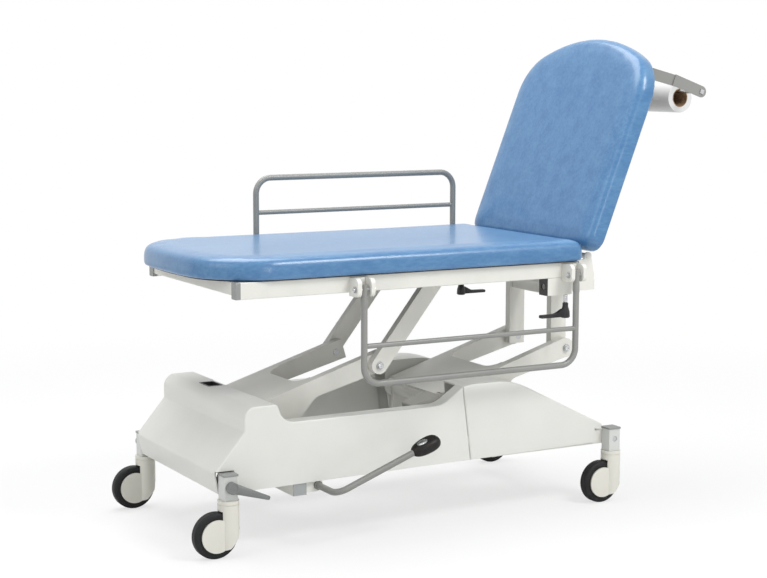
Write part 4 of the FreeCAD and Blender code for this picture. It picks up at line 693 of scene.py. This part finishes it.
@dataclass
class Upholstery(Part):
    """One padded section: vinyl drawn over foam and tucked under a board."""

    name: str
    node: str
    body: str
    finish: str
    origin: Place
    angle: float
    base: float
    tuck: float = 0.0135
    shrink: float = 0.0012
    voxel: float = 0.007
    pressure: float = 4.0
    steps: int = 20
    reach: float = 0.0028
    drag: float = 0.0005
    seats_on: float = 0.0004

    def frame(self) -> Matrix:
        """The section's own frame: X along it and Z out of its face."""
        turn = Matrix.Rotation(-math.radians(self.angle), 4, "Y")
        return Matrix.Translation(Vector(self.origin)) @ turn

    def build(self, finishes: Finishes) -> None:
        """Builds the padded section."""
        piece = copy_of(bpy.data.objects[self.node], self.name)
        piece.data.transform(self.frame().inverted())
        self.shrink_and_remesh(piece)
        self.inflate(piece)
        smooth = piece.modifiers.new("round", "SUBSURF")
        smooth.levels = smooth.render_levels = 1
        apply_all(piece)
        hold(piece)
        bpy.ops.object.shade_smooth()
        self.sit(piece)
        piece.data.transform(self.frame())
        dress(piece, getattr(finishes, self.finish))
        self.place(piece, self.body, "upholstery", self.node)

    def shrink_and_remesh(self, piece: Piece) -> None:
        """Draws the walls in a little and gives the piece an even mesh."""
        inward = piece.modifiers.new("inward", "DISPLACE")
        inward.strength = -self.shrink
        inward.mid_level = 0.0
        apply_all(piece)
        piece.data.remesh_voxel_size = self.voxel
        piece.data.use_remesh_preserve_volume = True
        hold(piece)
        bpy.ops.object.voxel_remesh()

    def inflate(self, piece: Piece) -> None:
        """Blows the cover up over the foam and keeps each point near its start."""
        start = [vertex.co.copy() for vertex in piece.data.vertices]
        blown = self.blow(piece, start)
        normals = [vertex.normal.copy() for vertex in piece.data.vertices]
        for vertex, first, last, normal in zip(piece.data.vertices, start, blown, normals):
            step = last - first
            out = max(-self.drag, min(self.reach, step.dot(normal)))
            side = step - normal * step.dot(normal)
            if side.length > self.drag:
                side = side.normalized() * self.drag
            vertex.co = first + normal * out + side
        piece.data.update()
        relax = piece.modifiers.new("relax", "SMOOTH")
        relax.factor, relax.iterations = 0.6, 14
        apply_all(piece)

    def blow(self, piece: Piece, start: Sequence[Vector]) -> list[Vector]:
        """Runs the cloth under pressure with its tucked edge pinned.

        Args:
            piece: The object.
            start: The points' places.

        Returns:
            The points' places under pressure. The piece stays as it was.
        """
        pinned = piece.vertex_groups.new(name="tucked")
        low = self.base + self.tuck
        pinned.add([k for k, place in enumerate(start) if place.z < low], 1.0, "REPLACE")
        cloth = piece.modifiers.new("cover", "CLOTH")
        settings = cloth.settings
        settings.quality = 5
        settings.mass = 0.3
        settings.tension_stiffness = 25
        settings.compression_stiffness = 20
        settings.bending_stiffness = 1.5
        settings.use_pressure = True
        settings.uniform_pressure_force = self.pressure
        settings.vertex_group_mass = pinned.name
        settings.effector_weights.gravity = 0.0
        cloth.collision_settings.use_collision = False
        cloth.point_cache.frame_start = 1
        cloth.point_cache.frame_end = self.steps
        scene = bpy.context.scene
        for step in range(1, self.steps + 1):
            scene.frame_set(step)
        graph = bpy.context.evaluated_depsgraph_get()
        places = [vertex.co.copy() for vertex in piece.evaluated_get(graph).data.vertices]
        piece.modifiers.remove(cloth)
        scene.frame_set(1)
        return places

    def sit(self, piece: Piece) -> None:
        """Flattens the underside where it rests on the frame."""
        floor = self.base + self.seats_on
        for vertex in piece.data.vertices:
            if vertex.co.z < floor:
                vertex.co.z = floor


@dataclass
class PaperRoll(Part):
    """A wound roll of tissue on its card core."""

    radius: float = 0.045
    core: float = 0.0281
    length: float = 0.350
    windings: int = 7
    ripple: float = 0.0005
    edge: float = 0.0006

    def build(self, finishes: Finishes) -> None:
        """Builds the roll where its CAD solid lies."""
        low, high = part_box("paper_roll")
        centre = (Vector(low) + Vector(high)) / 2
        clear_selection()
        bpy.ops.mesh.primitive_cylinder_add(vertices=96, radius=self.radius, depth=self.length,
                                            location=centre, rotation=(math.pi / 2, 0, 0))
        piece = bpy.context.object
        piece.name = "wound_paper"
        settle(piece)
        self.wind(piece)
        soften(piece, self.edge)
        dress(piece, finishes.tissue)
        self.place(piece, "roll", "paper", "paper_roll")

    def wind(self, piece: Piece) -> None:
        """Steps the ends into windings and opens the core."""
        step = (self.radius - self.core) / self.windings
        ends = [max(v.co.y for v in piece.data.vertices), min(v.co.y for v in piece.data.vertices)]
        with editing(piece):
            for end, way in zip(ends, (1, -1)):
                pick(piece, "faces", lambda face: is_end(face)
                     and abs(face.calc_center_median().y - end) < 0.001)
                for turn in range(self.windings):
                    bpy.ops.mesh.inset(thickness=step)
                    offset = self.ripple * (1 if turn % 2 else -1) * way
                    bpy.ops.transform.translate(value=(0, offset, 0))
            pick(piece, "faces", is_end)
            bpy.ops.mesh.bridge_edge_loops()


@dataclass
class PedalKnob(Part):
    """The rubber knob on the pump lever, with a bare oval inset."""

    shaft: Place = (-0.346, -0.390, 0.155)
    rise: float = 20.4
    along: float = 0.291
    lean: float = 16.0
    half_size: Place = (0.0452, 0.0245, 0.0195)
    fullness: float = 0.80
    widening: float = 0.12
    thickening: float = 0.08
    crown: float = 0.86
    crown_bulge: float = 0.35
    inset_half: Span = (0.0165, 0.0095)
    inset_depth: float = 0.0022
    inset_shift: float = -0.008
    inset_height: float = 0.89
    recess: float = 0.0010
    recess_reach: float = 1.5
    edge: float = 0.0006

    def frame(self) -> Matrix:
        """The knob's own frame at the end of the lever."""
        turn = Matrix.Rotation(-math.radians(self.rise), 4, "Y")
        lean = Matrix.Rotation(math.radians(self.lean), 4, "X")
        return Matrix.Translation(Vector(self.shaft)) @ turn @ Matrix.Translation(
            (self.along, 0, 0)) @ lean

    def under_inset(self, face: bmesh.types.BMFace) -> bool:
        """Says whether a face of the knob lies under the inset."""
        spot = face.calc_center_median()
        along = (spot.x - self.inset_shift) / self.inset_half[0]
        across = spot.y / self.inset_half[1]
        return face.normal.z > 0.5 and along ** 2 + across ** 2 < self.recess_reach

    def knob(self) -> Piece:
        """Models the rubber with the inset's recess."""
        clear_selection()
        bpy.ops.mesh.primitive_uv_sphere_add(segments=48, ring_count=32, radius=1)
        piece = bpy.context.object
        for vertex in piece.data.vertices:
            vertex.co = Vector([math.copysign(abs(part) ** self.fullness, part)
                                for part in vertex.co])
        piece.data.transform(Matrix.Diagonal((*self.half_size, 1)))
        flat = self.half_size[2] * self.crown
        for vertex in piece.data.vertices:
            share = vertex.co.x / self.half_size[0]
            vertex.co.y *= 1.0 + self.widening * share
            vertex.co.z *= 1.0 + self.thickening * share
            if vertex.co.z > flat:
                vertex.co.z = flat + (vertex.co.z - flat) * self.crown_bulge
        with editing(piece):
            pick(piece, "faces", self.under_inset)
            bpy.ops.mesh.inset(thickness=self.recess)
            bpy.ops.transform.translate(value=(0, 0, -self.recess))
        hold(piece)
        bpy.ops.object.shade_smooth_by_angle(angle=math.radians(50))
        return piece

    def inset(self) -> Piece:
        """Models the oval inset."""
        clear_selection()
        top = self.half_size[2] * self.inset_height
        bpy.ops.mesh.primitive_cylinder_add(vertices=48, radius=1, depth=self.inset_depth,
                                            location=(self.inset_shift, 0, top))
        piece = bpy.context.object
        piece.scale = (*self.inset_half, 1)
        settle(piece)
        soften(piece, self.edge, limit=35)
        return piece

    def build(self, finishes: Finishes) -> None:
        """Builds the knob and its inset."""
        knob, inset = self.knob(), self.inset()
        dress(knob, finishes.knob)
        dress(inset, finishes.inset)
        piece = join([knob, inset], "pedal_knob")
        piece.data.transform(self.frame())
        self.place(piece, "pump_pedal", "black_plastic", "pump_pad")


@dataclass
class BrakeLevers(Part):
    """The tapered foot levers on the brake bar."""

    hinge: Span = (-0.622, 0.190)
    middle_y: float = 0.327
    width: float = 0.0172
    hub: float = 0.0158
    hub_rim: float = 0.0035
    hub_step: float = 0.0012
    root: float = 0.93
    tip: float = 0.0055
    tip_round: float = 0.0032
    taper: float = 0.25
    reach: float = 0.115
    droop: float = 20.0
    edge: float = 0.0008

    def lever(self, side: float) -> Piece:
        """Models one lever.

        Args:
            side: -1 near or 1 far.

        Returns:
            The lever at its place.
        """
        clear_selection()
        bpy.ops.mesh.primitive_cylinder_add(vertices=48, radius=self.hub, depth=self.width,
                                            rotation=(math.pi / 2, 0, 0))
        hub = bpy.context.object
        settle(hub)
        with editing(hub):
            pick(hub, "faces", is_end)
            bpy.ops.mesh.inset(thickness=self.hub_rim)
            bpy.ops.mesh.inset(thickness=self.hub_step, depth=-self.hub_step)
        clear_selection()
        bpy.ops.mesh.primitive_cone_add(vertices=40, radius1=self.hub * self.root,
                                        radius2=self.tip, depth=self.reach,
                                        location=(self.reach / 2, 0, 0),
                                        rotation=(0, math.pi / 2, 0))
        cone = bpy.context.object
        settle(cone)
        for vertex in cone.data.vertices:
            narrowing = 1.0 - self.taper * vertex.co.x / self.reach
            vertex.co.y *= self.width / 2 / self.hub * narrowing
        with editing(cone, "EDGE"):
            pick(cone, "edges", lambda edge: all(v.co.x > self.reach - 0.001 for v in edge.verts))
            bpy.ops.mesh.bevel(offset=self.tip_round, segments=4)
        piece = join([hub, cone], "lever")
        soften(piece, self.edge)
        turn = Matrix.Rotation(math.radians(self.droop), 4, "Y")
        spot = Matrix.Translation((self.hinge[0], side * self.middle_y, self.hinge[1]))
        piece.data.transform(spot @ turn)
        return piece

    def build(self, finishes: Finishes) -> None:
        """Builds both levers."""
        piece = join([self.lever(-1), self.lever(1)], "brake_levers")
        dress(piece, finishes.brake_grey)
        self.place(piece, "foot_brake", "grey_cap", "brake_pedals")


@dataclass
class Fasteners(Part):
    """Screw and pin heads that dress the joints, in shares of a head's radius."""

    name: str
    body: str
    heads: Sequence[Head]
    height: float = 0.45
    rim: float = 0.30
    dome: float = 0.12
    flat: float = 0.22
    recess_wall: float = 0.02
    recess_depth: float = 0.28
    edge: float = 0.05

    def head(self, where: Vector, way: str, radius: float) -> Piece:
        """Models one domed head with a round recess.

        Args:
            where: The middle of its seat.
            way: The axis and side that it faces, such as -Y.
            radius: The head's radius.

        Returns:
            The head at its place.
        """
        clear_selection()
        height = radius * self.height
        bpy.ops.mesh.primitive_cylinder_add(vertices=24, radius=radius, depth=height,
                                            location=(0, 0, height / 2))
        piece = bpy.context.object
        settle(piece)
        with editing(piece):
            pick(piece, "faces", lambda face: face.normal.z > 0.9)
            bpy.ops.mesh.inset(thickness=radius * self.rim, depth=radius * self.dome)
            bpy.ops.mesh.inset(thickness=radius * self.flat)
            bpy.ops.mesh.inset(thickness=radius * self.recess_wall,
                               depth=-radius * self.recess_depth)
        soften(piece, radius * self.edge, segments=1)
        axis = Vector([name == way[1] for name in "XYZ"]) * (1 if way[0] == "+" else -1)
        turn = axis.to_track_quat("Z", "Y").to_matrix().to_4x4()
        piece.data.transform(Matrix.Translation(where) @ turn)
        return piece

    def build(self, finishes: Finishes) -> None:
        """Builds the heads of one body."""
        pieces = [self.head(Vector(where), way, radius) for where, way, radius in self.heads]
        piece = join(pieces, self.name)
        dress(piece, finishes.plate)
        self.place(piece, self.body, "bright_steel")


@dataclass
class Collars(Part):
    """Short sleeves round posts and studs."""

    name: str
    body: str
    slot: str
    finish: str
    inner: float
    outer: float
    length: float
    places: Sequence[Place]
    edge: float = 0.0004
    edge_share: float = 0.4

    def collar(self, where: Place) -> Piece:
        """Models one upright sleeve with rounded rims.

        Args:
            where: The middle of the sleeve.

        Returns:
            The sleeve at its place.
        """
        clear_selection()
        bpy.ops.mesh.primitive_cylinder_add(vertices=40, radius=self.outer, depth=self.length)
        piece = bpy.context.object
        wall = self.outer - self.inner
        with editing(piece):
            pick(piece, "faces", is_end)
            bpy.ops.mesh.inset(thickness=wall)
            bpy.ops.mesh.bridge_edge_loops()
        soften(piece, min(self.edge, wall * self.edge_share))
        piece.data.transform(Matrix.Translation(where))
        return piece

    def build(self, finishes: Finishes) -> None:
        """Builds the sleeves of one body."""
        piece = join([self.collar(where) for where in self.places], self.name)
        dress(piece, getattr(finishes, self.finish))
        self.place(piece, self.body, self.slot)


@dataclass
class TubePlugs(Part):
    """Moulded plugs that close the pump's cross tube."""

    along: Span = (-0.423, -0.383)
    height: Span = (0.134, 0.172)
    reach: float = 0.280
    thickness: float = 0.0025
    rim: float = 0.004
    step: float = 0.0006
    edge: float = 0.0008

    def plug(self, side: float) -> Piece:
        """Models one plug with a raised rim.

        Args:
            side: -1 near or 1 far.

        Returns:
            The plug at its place.
        """
        clear_selection()
        centre = (sum(self.along) / 2, side * (self.reach + self.thickness / 2),
                  sum(self.height) / 2)
        bpy.ops.mesh.primitive_cube_add(size=1, location=centre)
        piece = bpy.context.object
        piece.scale = (self.along[1] - self.along[0], self.thickness,
                       self.height[1] - self.height[0])
        settle(piece)
        with editing(piece):
            pick(piece, "faces", lambda face: face.normal.y * side > 0.9)
            bpy.ops.mesh.inset(thickness=self.rim)
            bpy.ops.mesh.inset(thickness=self.step, depth=-self.step)
        soften(piece, self.edge)
        return piece

    def build(self, finishes: Finishes) -> None:
        """Builds both plugs."""
        piece = join([self.plug(-1), self.plug(1)], "pump_tube_plugs")
        dress(piece, finishes.plug)
        self.place(piece, "base", "grey_cap")


WORN: dict[str, Sequence[str]] = {
    "casing": ("foot_casing", "head_casing"),
    "socket": ("castor_sockets",),
    "cap": ("socket_caps", "tube_end_caps"),
    "grey_paint": ("cot_side_near", "cot_side_far", "roll_holder"),
    "lever_paint": ("pump_lever",),
    "black": ("deck_tray", "gas_spring_barrel", "receiver_plates", "clamp_lever_near",
              "clamp_lever_far"),
    "turned": ("brake_bar_foot", "brake_bar_head", "base_pivot_pins", "frame_pins_and_bolts"),
    "plate": ("brake_link", "ram_rod", "gas_spring_rod", "roll_spindle"),
    "pump": ("hydraulic_pump",),
    "valve": ("valve_box",),
    "lining": ("seat_board", "backrest_board"),
    "card": ("roll_core",),
}


class PlainNodes:
    """The CAD nodes that stay, with their finishes."""

    def __init__(self, finishes: Finishes) -> None:
        """Keeps the finish of each node that isn't cream.

        Args:
            finishes: The couch's materials.
        """
        self.finishes = finishes
        self.finish_of = {name: getattr(finishes, finish)
                          for finish, names in WORN.items() for name in names}

    def material(self, name: str) -> Material:
        """The finish of a node."""
        if name.startswith("castor_tyre"):
            return self.finishes.tyre
        if name.startswith(("castor_housing", "castor_wheel")):
            return self.finishes.castor
        return self.finish_of.get(name, self.finishes.cream_paint)

    def build(self, nodes: dict[str, Piece]) -> None:
        """Dresses every node.

        Args:
            nodes: The CAD nodes by name.
        """
        for name, node in nodes.items():
            dress(node, self.material(name))
            report(node)


# The studio


@dataclass(frozen=True)
class Studio:
    """The floor, the lamps and the camera."""

    camera_place: Place = (-2.3999, -4.3255, 1.2815)
    azimuth: float = -29.14
    pitch: float = 7.38
    roll: float = 0.12
    lens: float = 80.05
    sensor: float = 36.0
    clip: Span = (0.05, 60.0)
    lamp_aim: Place = (0.1, 0, 0.55)
    floor_size: float = 9.0
    floor_colour: Colour = (0.84, 0.84, 0.845)
    floor_lift: float = 0.66
    floor_fade: Span = (1.1, 3.6)
    ambient: float = 0.52
    mirrored: float = 0.92

    def build(self) -> None:
        """Builds the studio."""
        self.floor()
        self.world()
        self.lamp("key", place=(1.5, -2.9, 3.9), size=(1.6, 1.4), watts=104)
        self.lamp("strip", place=(-0.2, -4.8, 1.5), size=(0.35, 1.8), watts=20)
        self.lamp("left", place=(-3.4, -0.8, 2.6), size=(2.0, 2.0), watts=20)
        self.lamp("top", place=(-0.4, 1.0, 3.9), size=(3.0, 2.4), watts=100)
        self.camera()
        bpy.context.scene.view_settings.view_transform = "Standard"

    def camera(self) -> None:
        """Places the camera where the photograph was taken."""
        data = bpy.data.cameras.new("photo_camera")
        data.lens = self.lens
        data.sensor_width = self.sensor
        data.clip_start, data.clip_end = self.clip
        camera = bpy.data.objects.new("photo_camera", data)
        bpy.context.scene.collection.objects.link(camera)
        turn, down = math.radians(self.azimuth), math.radians(self.pitch)
        back = Vector((math.sin(turn) * math.cos(down), -math.cos(turn) * math.cos(down),
                       math.sin(down)))
        camera.rotation_mode = "QUATERNION"
        level = (-back).to_track_quat("-Z", "Y")
        tip = Matrix.Rotation(math.radians(self.roll), 4, back).to_quaternion()
        camera.rotation_quaternion = tip @ level
        camera.location = self.camera_place
        bpy.context.scene.camera = camera

    def lamp(self, name: str, place: Place, size: Span, watts: float) -> None:
        """Adds one soft lamp that looks at the couch.

        Args:
            name: The lamp's name.
            place: Its place.
            size: Its width and height.
            watts: Its power.
        """
        data = bpy.data.lights.new(name, "AREA")
        data.shape = "RECTANGLE"
        data.size, data.size_y = size
        data.energy = watts
        lamp = bpy.data.objects.new(name, data)
        bpy.context.scene.collection.objects.link(lamp)
        lamp.location = place
        aim = Vector(self.lamp_aim) - Vector(place)
        lamp.rotation_mode = "QUATERNION"
        lamp.rotation_quaternion = aim.to_track_quat("-Z", "Y")

    def world(self) -> None:
        """Makes the surroundings white to the eye and even on the object."""
        world = bpy.data.worlds.new("studio_world")
        bpy.context.scene.world = world
        recipe = Recipe(world)
        path = recipe.node("ShaderNodeLightPath", {}, {}).outputs
        seen = recipe.most(path["Is Camera Ray"], path["Is Transmission Ray"])
        mirrored = Channel(recipe, path["Is Glossy Ray"]) * self.mirrored
        level = recipe.node("ShaderNodeMapRange", {},
                            {"Value": recipe.most(seen, mirrored), "To Min": self.ambient,
                             "To Max": 1.0})
        sky = recipe.node("ShaderNodeBackground", {},
                          {"Color": (1, 1, 1, 1), "Strength": level.outputs[0]})
        recipe.node("ShaderNodeOutputWorld", {}, {"Surface": sky.outputs[0]})

    def floor(self) -> None:
        """Lays a pale floor that fades into the white surroundings."""
        clear_selection()
        bpy.ops.mesh.primitive_plane_add(size=self.floor_size, location=(0, 0, 0))
        floor = bpy.context.object
        floor.name = "studio_floor"
        recipe = Recipe(bpy.data.materials.new("studio_floor"))
        matte = recipe.node("ShaderNodeBsdfDiffuse", {}, {"Color": (*self.floor_colour, 1)})
        glow = recipe.node("ShaderNodeEmission", {}, {"Color": (1, 1, 1, 1), "Strength": 1.0})
        distance = recipe.node("ShaderNodeVectorMath", {"operation": "LENGTH"},
                               {0: recipe.place})
        edge = recipe.ramp(Channel(recipe, distance.outputs["Value"]), *self.floor_fade)
        path = recipe.node("ShaderNodeLightPath", {}, {})
        seen = Channel(recipe, path.outputs["Is Camera Ray"])
        lift = (edge * (1.0 - self.floor_lift) + self.floor_lift) * seen
        mixed = recipe.node("ShaderNodeMixShader", {}, {0: lift, 1: matte.outputs[0],
                                                        2: glow.outputs[0]})
        recipe.node("ShaderNodeOutputMaterial", {}, {"Surface": mixed.outputs[0]})
        dress(floor, recipe.owner)


# The couch


@dataclass(frozen=True)
class Layout:
    """Where the couch's joints lie, on the far side where there are two."""

    hinge: Place = (0.5448, 0.0, 0.736)
    back_angle: float = 68.2
    seat_base: float = 0.727
    back_base: float = -0.009
    frame_pins: Sequence[Place] = ((-0.0895, 0.165, 0.446), (0.5545, 0.162, 0.446))
    base_pins: Sequence[Place] = ((-0.512, 0.141, 0.316), (0.132, 0.163, 0.316))
    pin_head: float = 0.008
    posts: Span = (-0.238, 0.456)
    post_side: float = 0.342
    bolt_height: float = 0.693
    bolt_reach: float = 0.0305
    bolt_head: float = 0.006
    clamp: Place = (0.457, 0.288, 0.6185)

    def pin_heads(self, pins: Sequence[Place]) -> list[Head]:
        """The heads at both ends of pins that lie across the couch."""
        return [((x, side * y, z), way, self.pin_head)
                for side, way in ((-1, "-Y"), (1, "+Y")) for x, y, z in pins]

    def bolt_heads(self) -> list[Head]:
        """The heads at both ends of the cot sides' post bolts."""
        return [((post + end * self.bolt_reach, side * self.post_side, self.bolt_height), way,
                 self.bolt_head)
                for side in (-1, 1) for post in self.posts
                for end, way in ((-1, "-X"), (1, "+X"))]

    def post_sleeves(self, name: str, body: str, side: float, height: float) -> Collars:
        """The sleeves on one cot side's posts."""
        places = [(post, side * self.post_side, height) for post in self.posts]
        return Collars(name, body, "side_paint", "grey_paint", inner=0.0089, outer=0.0098,
                       length=0.026, places=places)

    def clamp_stud(self, name: str, body: str, side: float) -> Collars:
        """The stud of one clamp lever."""
        along, across, height = self.clamp
        return Collars(name, body, "bright_steel", "plate", inner=0.0059, outer=0.0066,
                       length=0.022, places=[(along, side * across, height)])

    def parts(self) -> list[Part]:
        """Every sub-assembly that is modelled here."""
        return [
            Upholstery("seat_cover", "seat_pad", "couch_frame", "seat_vinyl",
                       origin=(0, 0, 0), angle=0.0, base=self.seat_base),
            Upholstery("backrest_cover", "backrest_pad", "backrest", "back_vinyl",
                       origin=self.hinge, angle=self.back_angle, base=self.back_base),
            PaperRoll(), PedalKnob(), BrakeLevers(), TubePlugs(),
            self.post_sleeves("near_post_sleeves", "near_side", -1, height=0.656),
            self.post_sleeves("far_post_sleeves", "far_side", 1, height=0.730),
            self.clamp_stud("near_clamp_stud", "near_clamp", -1),
            self.clamp_stud("far_clamp_stud", "far_clamp", 1),
            Fasteners("frame_heads", "couch_frame",
                      self.pin_heads(self.frame_pins) + self.bolt_heads()),
            Fasteners("base_heads", "base", self.pin_heads(self.base_pins)),
        ]


def main() -> None:
    """Builds the couch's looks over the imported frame."""
    logging.basicConfig(level=logging.INFO, format="%(name)s %(message)s")
    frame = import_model()
    layout = Layout()
    finishes = Finishes(layout.back_angle)
    Studio().build()
    PlainNodes(finishes).build(frame["nodes"])
    for part in layout.parts():
        part.build(finishes)


if __name__ == "__main__":
    main()
